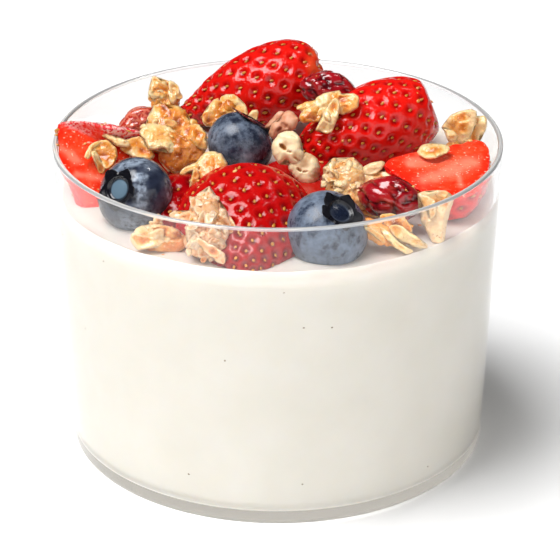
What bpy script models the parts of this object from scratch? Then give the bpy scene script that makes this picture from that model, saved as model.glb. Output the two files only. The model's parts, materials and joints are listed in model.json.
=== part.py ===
"""A yogurt parfait in its glass: a tapered tumbler filled with yogurt, and on it
strawberry pieces, blueberries, dried berries, nuts and lumps of granola.

Lengths in the tables are millimetres; MM turns them into metres. +X is to the
right, +Y to the back, +Z up, and the origin is under the middle of the base.
"""

import math

import bmesh
import bpy
from mathutils import Matrix, Vector

MM = 0.001
UPWARD = (0, 0, 1)

# The tumbler
GLASS_HEIGHT = 60.0
RIM_RADIUS = 41.5
BASE_RADIUS = 39.1
WALL = 1.0
FLOOR = 2.4
HEEL = 1.6              # rounding between the base and the side
INNER_CORNER = 2.5      # rounding between the floor and the inner wall
TURN_STEPS = 48
ARC_STEPS = 2           # steps in a quarter turn of the profile

# The yogurt and how its pieces meet
YOGURT_LEVEL = 51.0
WAVE = 0.35             # unevenness of the yogurt's top
TOP_RINGS = 3
SINK = 0.8              # how far the flat pieces are pressed into the yogurt
CLEARANCE = 0.3         # between pieces that touch
LUMP_DETAIL = 0.42      # share of the faces that granola and nuts keep
VOLUME_SHARE = 0.999    # least share of its expected volume that a sound cut or union leaves
SHARP_EDGE = 42         # degrees; steeper edges show as edges

# Strawberry form: the hollow where the leaves were
HULL_HOLLOW = 0.16      # depth, as a share of half the length
HULL_REACH = 0.42       # radius, as a share of half the width
PROFILE_STEPS = 20      # steps along the half berry in the search for its widest place

# Blueberry form: a flattened ball with a five-pointed crown round a dimple
BLUEBERRY_HEIGHT = 0.9  # share of its width
CROWN_EDGE = 25         # degrees from the top
DIMPLE_EDGE = 10        # degrees from the top
DIMPLE_DEPTH = 0.22     # share of the radius
CROWN_POINTS = 5

# name: centre, way the tip points, way the cut looks, (length, width, depth),
# cut's distance from the axis (None for a whole berry), taper towards the tip
STRAWBERRIES = {
    "strawberry_back": (
        (-5.0, 27.0, 58.4), (-1, -0.08, -0.32), (0, 0, -1), (30.0, 18.0, 16.2), None, 0.5),
    "strawberry_right": (
        (17.2, 10.4, 57.6), (-0.82, -0.56, -0.1), (0, 0.6, 0.8), (31.4, 20.0, 16.0), None, 0.2),
    "strawberry_front": (
        (-5.5, -24.6, 51.3), (0.03, -1, -0.05), (0, -0.06, -1), (30.0, 25.5, 21.0), 0.0, 0.36),
    "strawberry_slice_left": (
        (-29.6, -2.1, 54.2), (1, 0.1, -0.2), (-0.1, -0.62, 0.77), (25.0, 18.2, 18.2), 2.8, 0.36),
    "strawberry_slice_right": (
        (29.8, -9.4, 57.0), (-0.72, -0.69, -0.05), (-0.05, -0.12, 0.99), (30.0, 19.5, 16.0), 1.0, 0.36),
    "strawberry_piece_low": (
        (-17.0, -17.4, 52.8), (-0.3, -0.9, -0.1), (0, -0.1, 0.9), (16.0, 11.0, 9.0), 1.4, 0.2),
    "strawberry_slice_small": (
        (6.4, -9.4, 55.8), (-0.3, 0.95, 0), (0, -0.2, 0.98), (23.0, 17.0, 10.6), 0.0, 0.2),
}

# Where a knife took the leaves off: way the cut looks, distance from the centre
CROWN_CUTS = {
    "strawberry_right": ((0.8, 0.25, 0.55), 11.3),
}

# name: centre, way the crown looks, radius
BLUEBERRIES = {
    "blueberry_left": ((-25.4, -17.0, 55.8), (-0.49, -0.71, 0.51), 6.8),
    "blueberry_middle": ((-7.0, 4.1, 57.0), (0.37, -0.27, 0.89), 6.3),
    "blueberry_right": ((8.6, -30.0, 54.6), (0.36, -0.54, 0.76), 7.2),
}

# name: centre, way its length lies, (length, width, height)
DRIED_BERRIES = {
    "dried_berry_back": ((9.5, 12.0, 64.6), (1, 0.1, -0.2), (11.0, 7.5, 7.0)),
    "dried_berry_front": ((19.9, -22.0, 57.3), (1, -0.3, -0.1), (12.0, 8.0, 7.5)),
    "dried_berry_left": ((-27.6, 15.5, 56.3), (1, 0.4, 0.5), (8.4, 7.2, 11.0)),
}

# Flakes: centre, way the flat side looks, way the length lies, (length, width, thickness), curl
GRANOLA = {
    "granola_cluster_left": [
        ((-19.6, 2.0, 63.4), (0.1, -0.6, 0.8), (1, 0, 0.05), (9.0, 7.5, 2.6), 1.4),
        ((-21.9, -5.0, 62.2), (-0.1, -0.6, 0.8), (1, 0.1, -0.2), (9.0, 6.6, 2.4), 1.2),
        ((-14.9, -3.0, 61.8), (0.4, -0.4, 0.8), (0.6, 0.7, -0.3), (7.0, 5.8, 2.6), 0.8),
        ((-17.8, -4.4, 59.2), (0.1, -0.9, 0.4), (1, 0, -0.3), (10.0, 9.5, 6.0), 0.0),
        ((-17.0, 2.5, 57.0), (0, 0, 1), (1, 0.2, 0), (9.0, 9.0, 12.0), 0.0),
    ],
    "granola_lump_back_left": [
        ((-21.8, 27.0, 58.0), (0.3, -0.8, 0.4), (0.8, 0.3, 0.4), (6.8, 6.4, 3.0), 1.4),
        ((-21.6, 28.0, 54.6), (0, 0, 1), (1, 0, 0), (6.0, 5.6, 8.2), 0.0),
    ],
    "granola_flake_middle": [
        ((-10.8, 10.8, 60.4), (-0.2, -0.8, 0.6), (1, 0, 0.3), (7.5, 6.5, 1.8), 0.8),
        ((-7.0, 11.2, 61.2), (0.3, -0.8, 0.6), (0.8, 0, 0.5), (8.0, 6.5, 1.8), 0.8),
        ((-8.8, 12.2, 56.0), (0, -1, 0.1), (0, 0.1, 1), (12.0, 7.0, 4.5), 0.0),
    ],
    "granola_cluster_right_top": [
        ((4.6, 3.0, 64.4), (-0.4, -0.6, 0.7), (0.8, 0.2, 0.6), (6.5, 4.6, 2.2), 0.6),
        ((8.9, 4.2, 66.3), (0, -0.5, 0.8), (1, 0.1, 0.2), (7.0, 5.0, 2.0), 0.6),
        ((12.8, 4.6, 65.6), (0.4, -0.5, 0.8), (0.9, 0.2, -0.3), (6.0, 5.0, 2.0), 0.6),
        ((9.0, 0.8, 64.0), (0.1, -0.9, 0.4), (0.45, 0.2, 0.9), (8.0, 3.4, 1.8), 0.4),
    ],
    "granola_flake_right": [
        ((33.0, 7.1, 56.0), (-0.5, -0.8, 0.2), (0.3, 0.2, 1), (13.4, 7.5, 1.6), 1.0),
        ((36.6, 6.4, 57.6), (-0.7, -0.6, 0.2), (0.2, 0.2, 1), (8.5, 5.5, 1.5), 0.8),
    ],
    "granola_cluster_front_right": [
        ((11.4, -18.0, 60.0), (-0.2, -0.7, 0.7), (1, 0, 0.4), (7.5, 7.5, 4.0), 0.4),
        ((15.0, -15.6, 60.8), (0.2, -0.5, 0.8), (1, 0.1, 0), (8.0, 5.0, 2.2), 0.6),
        ((17.2, -17.0, 59.4), (0.2, -0.6, 0.8), (1, -0.2, -0.1), (9.5, 5.5, 2.2), 1.0),
        ((13.4, -20.2, 57.6), (0, -0.8, 0.6), (1, 0, -0.3), (7.5, 6.0, 4.0), 0.0),
    ],
    "granola_slices_front": [
        ((14.8, -31.0, 55.8), (0.5, -0.4, 0.75), (0.6, -0.3, -0.6), (9.5, 5.0, 1.6), 0.6),
        ((18.2, -31.4, 54.2), (0.5, -0.5, 0.7), (0.7, -0.2, -0.6), (10.0, 5.5, 1.6), 0.6),
        ((21.6, -29.0, 54.0), (0.3, -0.7, 0.65), (0.9, 0, -0.4), (9.5, 6.0, 1.8), 0.6),
    ],
    "granola_flake_front_right": [
        ((27.2, -27.0, 57.6), (0.65, -0.75, 0.1), (0.1, 0.1, 1), (8.0, 8.2, 1.6), 0.4),
        ((26.7, -27.2, 54.4), (0.65, -0.75, 0.1), (0.1, 0.1, 1), (8.0, 4.6, 1.6), 0.3),
    ],
    "granola_cluster_front_left": [
        ((-23.3, -29.6, 53.2), (-0.4, -0.7, 0.6), (1, -0.4, 0.1), (7.0, 5.5, 3.0), 0.4),
        ((-19.0, -31.6, 53.4), (-0.3, -0.7, 0.6), (1, -0.3, -0.1), (7.5, 5.5, 2.6), 0.8),
        ((-20.8, -29.4, 52.0), (0, 0, 1), (1, -0.4, 0), (9.0, 5.0, 3.0), 0.0),
    ],
    "granola_chunk_front": [
        ((-12.8, -33.0, 59.4), (-0.2, -0.8, 0.5), (0.6, -0.2, 0.8), (8.0, 7.0, 4.0), 0.4),
        ((-13.4, -34.6, 56.0), (-0.3, -0.9, 0.1), (0.2, 0, 1), (9.0, 9.0, 4.0), 0.4),
        ((-10.6, -35.0, 54.2), (-0.2, -0.9, 0.2), (0.7, 0, -0.7), (8.5, 3.6, 3.0), 0.0),
    ],
    "granola_flake_fork": [
        ((-11.8, -13.6, 62.0), (-0.1, -0.6, 0.8), (0.8, 0.3, 0.1), (6.0, 5.4, 1.5), 0.5),
        ((-15.6, -15.0, 61.0), (-0.2, -0.6, 0.8), (1, 0.1, 0.1), (4.8, 2.2, 1.5), 0.0),
        ((-13.6, -17.0, 60.6), (-0.2, -0.7, 0.7), (0.3, -0.8, -0.5), (5.6, 2.2, 1.5), 0.0),
    ],
    "granola_flake_left": [
        ((-33.2, -3.2, 58.6), (-0.2, -0.6, 0.8), (0.7, 0.3, 0.3), (6.6, 5.0, 1.8), 1.0),
        ((-32.6, -6.2, 57.0), (0, -0.6, 0.8), (0.2, -0.8, -0.6), (5.0, 2.4, 1.5), 0.0),
    ],
    "granola_flake_left_long": [
        ((-28.6, -1.8, 59.9), (0, -0.6, 0.8), (0.9, -0.2, -0.35), (10.0, 3.8, 1.7), 0.6),
    ],
}

# Nuts: rounded lobes, each centre, way the flat side looks, way the length lies, size, groove
NUTS = {
    "nut_curl": [
        ((1.8, -4.6, 60.6), (-0.1, -0.8, 0.6), (0.7, 0.2, 0.4), (6.2, 5.0, 3.4), 0.9),
        ((4.6, -9.5, 58.3), (0.1, -0.8, 0.6), (0.7, -0.2, -0.3), (6.6, 5.2, 3.4), 0.9),
        ((3.5, -7.0, 59.4), (0, -0.8, 0.6), (0.4, -0.6, -0.6), (7.0, 3.2, 3.0), 0.0),
    ],
    "nut_red": [
        ((1.3, 1.8, 61.9), (0.1, -0.7, 0.7), (0.8, 0.3, 0.5), (5.8, 5.2, 4.4), 0.3),
        ((-0.8, 3.2, 62.6), (-0.3, -0.7, 0.6), (0.7, 0.2, 0.7), (5.6, 2.4, 3.0), 0.0),
    ],
}

COLOURS = {
    "glass": ((0.93, 0.95, 0.95), 0.05),
    "yogurt": ((0.90, 0.88, 0.83), 0.35),
    "strawberry": ((0.70, 0.02, 0.02), 0.25),
    "blueberry": ((0.06, 0.09, 0.18), 0.45),
    "dried_berry": ((0.22, 0.01, 0.02), 0.30),
    "granola": ((0.75, 0.42, 0.14), 0.55),
    "nut": ((0.72, 0.52, 0.32), 0.60),
}


# ---------------------------------------------------------------- scene and helpers

def clear_scene():
    """Remove whatever objects the file already holds."""
    for leftover in list(bpy.data.objects):
        bpy.data.objects.remove(leftover)


def new_collection(name):
    """A collection of this name, linked into the scene."""
    collection = bpy.data.collections.new(name)
    bpy.context.scene.collection.children.link(collection)
    return collection


def new_material(name, family):
    """A Principled material in the colour and roughness of its family."""
    colour, roughness = COLOURS[family]
    material = bpy.data.materials.new(name)
    material.use_nodes = True
    shader = material.node_tree.nodes["Principled BSDF"]
    shader.inputs["Base Color"].default_value = (*colour, 1.0)
    shader.inputs["Roughness"].default_value = roughness
    shader.inputs["Metallic"].default_value = 0.0
    if family == "glass":
        shader.inputs["Transmission Weight"].default_value = 1.0
    return material


def new_object(name, family, shape, collection):
    """An object from a bmesh, shaded smooth, with its own material."""
    mesh = bpy.data.meshes.new(name)
    shape.to_mesh(mesh)
    shape.free()
    mesh.shade_smooth()
    mesh.materials.append(new_material(name, family))
    piece = bpy.data.objects.new(name, mesh)
    collection.objects.link(piece)
    return piece


def frame_of(length_way, flat_way):
    """Rotation whose local Z runs along length_way and whose local Y is nearest flat_way."""
    z_axis = Vector(length_way).normalized()
    y_axis = Vector(flat_way)
    y_axis = (y_axis - z_axis * y_axis.dot(z_axis)).normalized()
    x_axis = y_axis.cross(z_axis)
    return Matrix((x_axis, y_axis, z_axis)).transposed()


def place(piece, centre, rotation):
    """Set an object's location, in millimetres, and its rotation."""
    piece.location = Vector(centre) * MM
    piece.rotation_euler = rotation.to_euler()


def apply_modifiers(piece):
    """Replace an object's mesh by its modified mesh."""
    graph = bpy.context.evaluated_depsgraph_get()
    shaped = bpy.data.meshes.new_from_object(piece.evaluated_get(graph), depsgraph=graph)
    piece.modifiers.clear()
    piece.data = shaped


def keep_main_body(piece):
    """Delete the scraps that a cut leaves beside an object's largest body."""
    shape = bmesh.new()
    shape.from_mesh(piece.data)
    unseen = set(shape.faces)
    bodies = []
    while unseen:
        body = {unseen.pop()}
        edge_of_search = list(body)
        while edge_of_search:
            face = edge_of_search.pop()
            for edge in face.edges:
                for neighbour in edge.link_faces:
                    if neighbour in unseen:
                        unseen.remove(neighbour)
                        body.add(neighbour)
                        edge_of_search.append(neighbour)
        bodies.append(body)
    largest = max(bodies, key=lambda body: sum(face.calc_area() for face in body))
    scraps = [face for face in shape.faces if face not in largest]
    bmesh.ops.delete(shape, geom=scraps, context="FACES")
    shape.to_mesh(piece.data)
    shape.free()


def volume(piece):
    """Volume of an object as its modifiers leave it, in cubic metres; 0 if it isn't closed."""
    graph = bpy.context.evaluated_depsgraph_get()
    shape = bmesh.new()
    shape.from_object(piece, graph)
    closed = all(edge.is_manifold for edge in shape.edges)
    size = shape.calc_volume() if closed else 0.0
    shape.free()
    return size


def combine(piece, tool, operation):
    """Cut, join or trim a piece with a tool, with the second solver where the first loses a body."""
    before = piece.data
    own, other = volume(piece), volume(tool)
    least = {"DIFFERENCE": own - other, "UNION": max(own, other), "INTERSECT": 0.0}[operation]
    for solver in ("EXACT", "MANIFOLD"):
        piece.data = before
        boolean = piece.modifiers.new(operation.title(), "BOOLEAN")
        boolean.operation = operation
        boolean.solver = solver
        boolean.object = tool
        apply_modifiers(piece)
        if volume(piece) > max(least, 0.0) * VOLUME_SHARE:
            break


def overlap(piece, other, margin):
    """Whether the boxes of two objects, grown by margin, overlap."""
    boxes = []
    for thing in (piece, other):
        corners = [thing.matrix_world @ Vector(corner) for corner in thing.bound_box]
        boxes.append([(min(c[i] for c in corners), max(c[i] for c in corners)) for i in range(3)])
    return all(a[0] - margin < b[1] and b[0] - margin < a[1] for a, b in zip(*boxes))


def carve(piece, other, cutters):
    """Cut a piece clear of another, which stays whole."""
    if not overlap(piece, other, CLEARANCE * MM):
        return
    cutter = other.copy()
    cutter.data = other.data.copy()
    cutter.hide_render = True
    cutter.display_type = "WIRE"
    cutters.objects.link(cutter)
    grow = cutter.modifiers.new("Clearance", "DISPLACE")
    grow.mid_level = 0.0
    grow.strength = CLEARANCE * MM
    bpy.context.view_layer.update()
    combine(piece, cutter, "DIFFERENCE")
    keep_main_body(piece)
    bpy.data.objects.remove(cutter)


def turned(name, family, profile, collection):
    """A solid turned about Z from (radius, height) points that run from axis to axis."""
    shape = bmesh.new()
    points = [shape.verts.new((radius * MM, 0, height * MM)) for radius, height in profile]
    for start, end in zip(points, points[1:]):
        shape.edges.new((start, end))
    piece = new_object(name, family, shape, collection)
    screw = piece.modifiers.new("Turn", "SCREW")
    screw.steps = TURN_STEPS
    screw.render_steps = TURN_STEPS
    screw.use_merge_vertices = True
    screw.merge_threshold = 0.00005
    screw.use_smooth_shade = True
    apply_modifiers(piece)
    return piece


def arc(centre, radius, start, end, steps):
    """Points on an arc in the profile plane, angles in degrees."""
    angles = [math.radians(start + (end - start) * i / steps) for i in range(steps + 1)]
    return [(centre[0] + radius * math.cos(a), centre[1] + radius * math.sin(a)) for a in angles]


# ---------------------------------------------------------------- glass and yogurt

def outer_radius(height):
    """Radius of the tumbler's outer side."""
    return BASE_RADIUS + (RIM_RADIUS - BASE_RADIUS) * height / GLASS_HEIGHT


def inner_radius(height):
    """Radius of the tumbler's inner side."""
    return outer_radius(height) - WALL


def make_glass(collection):
    """The tumbler, with a rounded rim, heel and inner corner."""
    lip = WALL / 2
    lip_centre = (outer_radius(GLASS_HEIGHT) - lip, GLASS_HEIGHT - lip)
    corner = (inner_radius(FLOOR + INNER_CORNER) - INNER_CORNER, FLOOR + INNER_CORNER)
    heel = (outer_radius(HEEL) - HEEL, HEEL)
    profile = [(0, FLOOR)]
    profile += arc(corner, INNER_CORNER, -90, 0, ARC_STEPS)
    profile += arc(lip_centre, lip, 180, 0, 2 * ARC_STEPS)
    profile += arc(heel, HEEL, 0, -90, ARC_STEPS)
    profile += [(0, 0)]
    return turned("glass", "glass", profile, collection)


def make_yogurt(collection):
    """The yogurt, clear of the glass and with a slightly uneven top."""
    corner_height = FLOOR + INNER_CORNER
    corner = (inner_radius(corner_height) - INNER_CORNER, corner_height)
    edge = inner_radius(YOGURT_LEVEL) - CLEARANCE
    profile = [(edge * ring / TOP_RINGS, YOGURT_LEVEL) for ring in range(TOP_RINGS + 1)]
    profile += arc(corner, INNER_CORNER - CLEARANCE, 0, -90, ARC_STEPS)
    profile += [(0, FLOOR + CLEARANCE)]
    yogurt = turned("yogurt", "yogurt", profile, collection)
    for vertex in yogurt.data.vertices:
        if vertex.co.z > (YOGURT_LEVEL - 0.5) * MM:
            x, y = vertex.co.x / MM, vertex.co.y / MM
            vertex.co.z += WAVE * MM * math.sin(x / 7.0 + 1.0) * math.cos(y / 8.0)
    return yogurt


# ---------------------------------------------------------------- fruit

def make_strawberry(name, size, cut_distance, taper, rotation, collection):
    """A strawberry along local Z, tip down, cut across local Y and at its crown."""
    length, width, depth = (side * MM for side in size)
    heights = [step / PROFILE_STEPS for step in range(PROFILE_STEPS)]
    widest = max(math.sqrt(1 - h * h) * (1 + taper * h) for h in heights)
    shape = bmesh.new()
    bmesh.ops.create_uvsphere(shape, u_segments=16, v_segments=10, radius=1.0)
    for vertex in shape.verts:
        along = vertex.co.z
        girth = (1 + taper * along) / widest
        spread = math.hypot(vertex.co.x, vertex.co.y) * girth
        hollow = max(0.0, 1 - (spread / HULL_REACH) ** 2) * HULL_HOLLOW if along > 0 else 0.0
        vertex.co.x *= girth * width / 2
        vertex.co.y *= girth * depth / 2
        vertex.co.z = (along - hollow) * length / 2
    if cut_distance is not None:
        cut(shape, Vector((0, cut_distance * MM, 0)), Vector((0, 1, 0)))
    if name in CROWN_CUTS:
        crown_way, crown_distance = CROWN_CUTS[name]
        way = rotation.inverted() @ Vector(crown_way).normalized()
        cut(shape, way * crown_distance * MM, way)
    return new_object(name, "strawberry", shape, collection)


def cut(shape, point, way):
    """Cut a shape with a plane, remove what lies on the plane's far side and close it."""
    everything = shape.verts[:] + shape.edges[:] + shape.faces[:]
    bmesh.ops.bisect_plane(shape, geom=everything, plane_co=point, plane_no=way, clear_outer=True)
    rim = [edge for edge in shape.edges if edge.is_boundary]
    bmesh.ops.edgeloop_fill(shape, edges=rim)
    bmesh.ops.recalc_face_normals(shape, faces=shape.faces[:])


def make_blueberry(name, radius, collection):
    """A blueberry whose five-pointed crown is at local +Z."""
    shape = bmesh.new()
    bmesh.ops.create_uvsphere(shape, u_segments=20, v_segments=9, radius=1.0)
    for vertex in shape.verts:
        from_top = math.degrees(math.acos(max(-1.0, min(1.0, vertex.co.z))))
        around = math.atan2(vertex.co.y, vertex.co.x)
        vertex.co.z *= BLUEBERRY_HEIGHT
        if from_top < DIMPLE_EDGE:
            vertex.co.z -= DIMPLE_DEPTH
        elif from_top < CROWN_EDGE:
            point = 0.5 + 0.5 * math.cos(CROWN_POINTS * around)
            vertex.co.z += 0.10 * point - 0.04
            vertex.co.x *= 1.0 + 0.4 * point
            vertex.co.y *= 1.0 + 0.4 * point
        vertex.co *= radius * MM
    return new_object(name, "blueberry", shape, collection)


def make_dried_berry(name, size, collection):
    """A wrinkled dried berry, long in local Z."""
    length, width, height = (side * MM / 2 for side in size)
    shape = bmesh.new()
    bmesh.ops.create_uvsphere(shape, u_segments=14, v_segments=8, radius=1.0)
    for vertex in shape.verts:
        x, y, z = vertex.co
        wrinkle = 1 + 0.07 * math.sin(6 * x + 2 * z) * math.sin(5 * y + 1.5 * z)
        wrinkle += 0.05 * math.sin(4 * z + 3 * x)
        pinch = 1 - 0.25 * z * z
        vertex.co = (x * width * wrinkle * pinch, y * height * wrinkle * pinch, z * length)
    return new_object(name, "dried_berry", shape, collection)


# ---------------------------------------------------------------- granola and nuts

def make_flake(name, family, flake, phase, collection):
    """A flattened, curled lobe with an uneven edge; it is placed where it belongs."""
    centre, flat_way, length_way, size, curl = flake
    length, width, thickness = (side / 2 for side in size)
    shape = bmesh.new()
    bmesh.ops.create_icosphere(shape, subdivisions=2, radius=1.0)
    for vertex in shape.verts:
        x, y, z = vertex.co
        around = math.atan2(x, z)
        edge = 1 + 0.10 * math.sin(3 * around + phase) + 0.07 * math.sin(5 * around + 2 * phase)
        lift = curl * (z * z + 0.5 * x * z - 0.4)
        vertex.co = Vector((x * width * edge, y * thickness - lift, z * length * edge)) * MM
    piece = new_object(name, family, shape, collection)
    place(piece, centre, frame_of(length_way, flat_way))
    return piece


def make_lobe(name, family, lobe, collection):
    """A rounded nut lobe with a groove along its upper side."""
    centre, flat_way, length_way, size, groove = lobe
    length, width, thickness = (side / 2 for side in size)
    shape = bmesh.new()
    bmesh.ops.create_uvsphere(shape, u_segments=12, v_segments=7, radius=1.0)
    for vertex in shape.verts:
        x, y, z = vertex.co
        slit = groove * math.exp(-((x / 0.35) ** 2)) * (1 - z * z) if y > 0 else 0.0
        vertex.co = Vector((x * width, y * thickness - slit, z * length)) * MM
    piece = new_object(name, family, shape, collection)
    place(piece, centre, frame_of(length_way, flat_way))
    return piece


def join_all(parts):
    """Join overlapping parts into the first of them."""
    main = parts[0]
    for extra in parts[1:]:
        bpy.context.view_layer.update()
        combine(main, extra, "UNION")
        bpy.data.objects.remove(extra)
    thin_out = main.modifiers.new("Fewer faces", "DECIMATE")
    thin_out.ratio = LUMP_DETAIL
    apply_modifiers(main)
    keep_main_body(main)
    return main


def make_granola(name, flakes, collection):
    """A lump of granola: flakes baked together."""
    parts = [make_flake(name if i == 0 else name + "_part", "granola", flake, 1.3 * i + len(name), collection)
             for i, flake in enumerate(flakes)]
    return join_all(parts)


def make_nut(name, lobes, collection):
    """A piece of nut: grooved lobes grown together."""
    parts = [make_lobe(name if i == 0 else name + "_part", "nut", lobe, collection)
             for i, lobe in enumerate(lobes)]
    return join_all(parts)


# ---------------------------------------------------------------- the parfait

def make_toppings(collection):
    """All toppings, the ones that keep their whole shape first."""
    toppings = []
    for name, (centre, crown_way, radius) in BLUEBERRIES.items():
        piece = make_blueberry(name, radius, collection)
        place(piece, centre, frame_of(crown_way, UPWARD))
        toppings.append(piece)
    for name, (centre, tip_way, cut_way, size, cut_distance, taper) in STRAWBERRIES.items():
        rotation = frame_of(-Vector(tip_way), cut_way)
        piece = make_strawberry(name, size, cut_distance, taper, rotation, collection)
        place(piece, centre, rotation)
        toppings.append(piece)
    for name, (centre, length_way, size) in DRIED_BERRIES.items():
        piece = make_dried_berry(name, size, collection)
        place(piece, centre, frame_of(length_way, UPWARD))
        toppings.append(piece)
    for name, lobes in NUTS.items():
        toppings.append(make_nut(name, lobes, collection))
    for name, flakes in GRANOLA.items():
        toppings.append(make_granola(name, flakes, collection))
    bpy.context.view_layer.update()
    return toppings


def make_room(collection):
    """The space that toppings may fill: inside the wall, and no deeper than SINK."""
    top = GLASS_HEIGHT + 20
    bottom = YOGURT_LEVEL - SINK
    profile = [(0, top), (inner_radius(top) - CLEARANCE, top)]
    profile += [(inner_radius(bottom) - CLEARANCE, bottom), (0, bottom)]
    room = turned("room", "glass", profile, collection)
    room.hide_render = True
    room.display_type = "WIRE"
    return room


def main():
    clear_scene()
    parfait = new_collection("yogurt_parfait")
    cutters = new_collection("cutters")
    make_glass(parfait)
    yogurt = make_yogurt(parfait)
    toppings = make_toppings(parfait)
    room = make_room(cutters)
    for rank, piece in enumerate(toppings):
        combine(piece, room, "INTERSECT")
        keep_main_body(piece)
        for earlier in toppings[:rank]:
            carve(piece, earlier, cutters)
    for piece in toppings:
        carve(yogurt, piece, cutters)
    bpy.data.objects.remove(room)
    for piece in parfait.objects:
        piece.data.shade_smooth()
        piece.data.set_sharp_from_angle(angle=math.radians(SHARP_EDGE))


main()
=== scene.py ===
"""The looks of a yogurt parfait: a clear tumbler of yogurt, and on it strawberry pieces,
blueberries, dried berries, nuts and lumps of granola.

Lengths in the tables are millimetres; MM turns them into metres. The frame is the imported
model's: +X to the right, +Y to the back, +Z up, the origin under the middle of the base.
"""

import json
import math
from collections import namedtuple
from itertools import product

import bmesh
import bpy
import numpy as np
from mathutils import Matrix, Vector
from mathutils.bvhtree import BVHTree
from mathutils.geometry import delaunay_2d_cdt
from mathutils.kdtree import KDTree

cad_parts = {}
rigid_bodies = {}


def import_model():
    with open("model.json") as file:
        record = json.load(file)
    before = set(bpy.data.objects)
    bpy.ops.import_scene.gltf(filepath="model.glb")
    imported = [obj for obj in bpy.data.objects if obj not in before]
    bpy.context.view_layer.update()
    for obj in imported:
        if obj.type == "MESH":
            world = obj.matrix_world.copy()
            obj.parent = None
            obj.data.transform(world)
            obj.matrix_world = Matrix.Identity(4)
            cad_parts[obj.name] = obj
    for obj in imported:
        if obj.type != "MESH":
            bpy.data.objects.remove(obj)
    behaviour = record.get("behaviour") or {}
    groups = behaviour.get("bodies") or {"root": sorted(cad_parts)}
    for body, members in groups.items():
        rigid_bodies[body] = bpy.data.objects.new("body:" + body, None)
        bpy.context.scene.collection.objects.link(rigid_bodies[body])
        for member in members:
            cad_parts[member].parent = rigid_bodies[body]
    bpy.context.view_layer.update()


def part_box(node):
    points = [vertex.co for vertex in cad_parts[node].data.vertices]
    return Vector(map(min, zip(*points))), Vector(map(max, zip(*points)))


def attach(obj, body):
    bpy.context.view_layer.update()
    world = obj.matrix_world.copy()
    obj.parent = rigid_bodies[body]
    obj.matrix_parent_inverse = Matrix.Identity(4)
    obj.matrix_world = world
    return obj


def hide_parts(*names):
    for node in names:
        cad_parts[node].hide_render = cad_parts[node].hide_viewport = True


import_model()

MM = 0.001
UP = Vector((0, 0, 1))

# The tumbler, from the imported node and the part's own sizes
GLASS_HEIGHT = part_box("glass")[1][2] / MM
RIM_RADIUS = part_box("glass")[1][0] / MM
BASE_RADIUS = 39.1
WALL = 1.0
FLOOR = 2.4
FLAT_FLOOR = 30                     # radius of a ring that keeps the floor flat
HEEL = 1.6
PUNT = 0.1                          # how far the underside rises inside its foot ring
FOOT_RING = 1.2                     # its width from the heel's round inwards
INNER_CORNER = 2.5
TURN_STEPS = 256
LIP_CLEARNESS = 0.62                # the lip is partly opaque white, a painted sheen for the light that gathers in a fire-polished lip
SUPPORT = 0.3                       # distance of the rings that keep straight sides straight

# The surround: its brightness near the horizon and overhead, and the heights between which it fades
SURROUND_LOW = 0.46
SURROUND_HIGH = 0.12
SURROUND_TOP = (0.30, 0.60)

# The yogurt reaches a little way into the glass, and its uneven top climbs the wall
YOGURT_LEVEL = 51.0
INTO_WALL = 0.12
YOGURT_WAVE = 0.3
YOGURT_UNEVENNESS = 0.25
CLIMB_HEIGHT = 0.55
CLIMB_REACH = 0.7
UNDER_GLOW = 0.26                   # a painted glow on the yogurt's underside, for the light that a thick clear base carries in under it
TOPPING_GAP = 0.12                  # how far the topping stays off the wall

# name: centre, way the tip points, way the cut looks, (length, width, depth),
# cut's distance from the axis (None for a whole berry), taper towards the tip
STRAWBERRIES = {
    "strawberry_back": (
        (-5.0, 27.0, 58.4), (-1, -0.08, -0.32), (0, 0, -1), (30.0, 18.0, 16.2), None, 0.5),
    "strawberry_right": (
        (17.2, 10.4, 57.6), (-0.82, -0.56, -0.1), (0, 0.6, 0.8), (31.4, 20.0, 16.0), None, 0.2),
    "strawberry_front": (
        (-5.5, -24.6, 51.3), (0.03, -1, -0.05), (0, -0.06, -1), (30.0, 25.5, 21.0), 0.0, 0.36),
    "strawberry_slice_left": (
        (-29.6, -2.1, 54.2), (1, 0.1, -0.2), (-0.1, -0.62, 0.77), (25.0, 18.2, 18.2), 2.8, 0.36),
    "strawberry_slice_right": (
        (29.8, -9.4, 57.0), (-0.72, -0.69, -0.05), (-0.05, -0.12, 0.99), (30.0, 19.5, 16.0), 1.0, 0.36),
    "strawberry_piece_low": (
        (-17.8, -15.2, 52.3), (-0.3, -0.9, -0.1), (0, 0.1, -0.9), (18.0, 13.0, 9.6), 1.0, 0.2),
    "strawberry_slice_small": (
        (4.8, -9.0, 54.9), (-0.3, 0.95, 0), (0, -0.2, 0.98), (23.0, 20.0, 10.6), 0.2, 0.2),
}
# How deep a red a piece is, at its crown and at its tip; 0 for both where none is given. Part of this is the
# fruit's own ripeness and part is painted shade: the low piece and the small slice, which lie in shade among
# other pieces, and the front berry's tip under the rim are painted darker for it.
RIPENESS_AND_SHADE = {
    "strawberry_front": (0.35, 0.9),
    "strawberry_back": (0.1, 0.35),
    "strawberry_right": (0.0, 0.1),
    "strawberry_slice_left": (0.16, 0.04),
    "strawberry_slice_small": (0.88, 0.88),
    "strawberry_piece_low": (1.0, 1.0),
}
# Where a cut leaves a ledge of skin at its far side: how far across it starts, how high it stands
SKIN_LEDGE = {"strawberry_slice_left": (4.4, 3.6)}
# How much of a slice's roundness is left under its cut, in its middle and at its crown end,
# and how far along the berry from its middle these lie
SLICE_UNDERSIDE = {"strawberry_slice_left": (0.66, 0.12)}
UNDERSIDE_SPAN = (1.0, 11.0)
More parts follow.
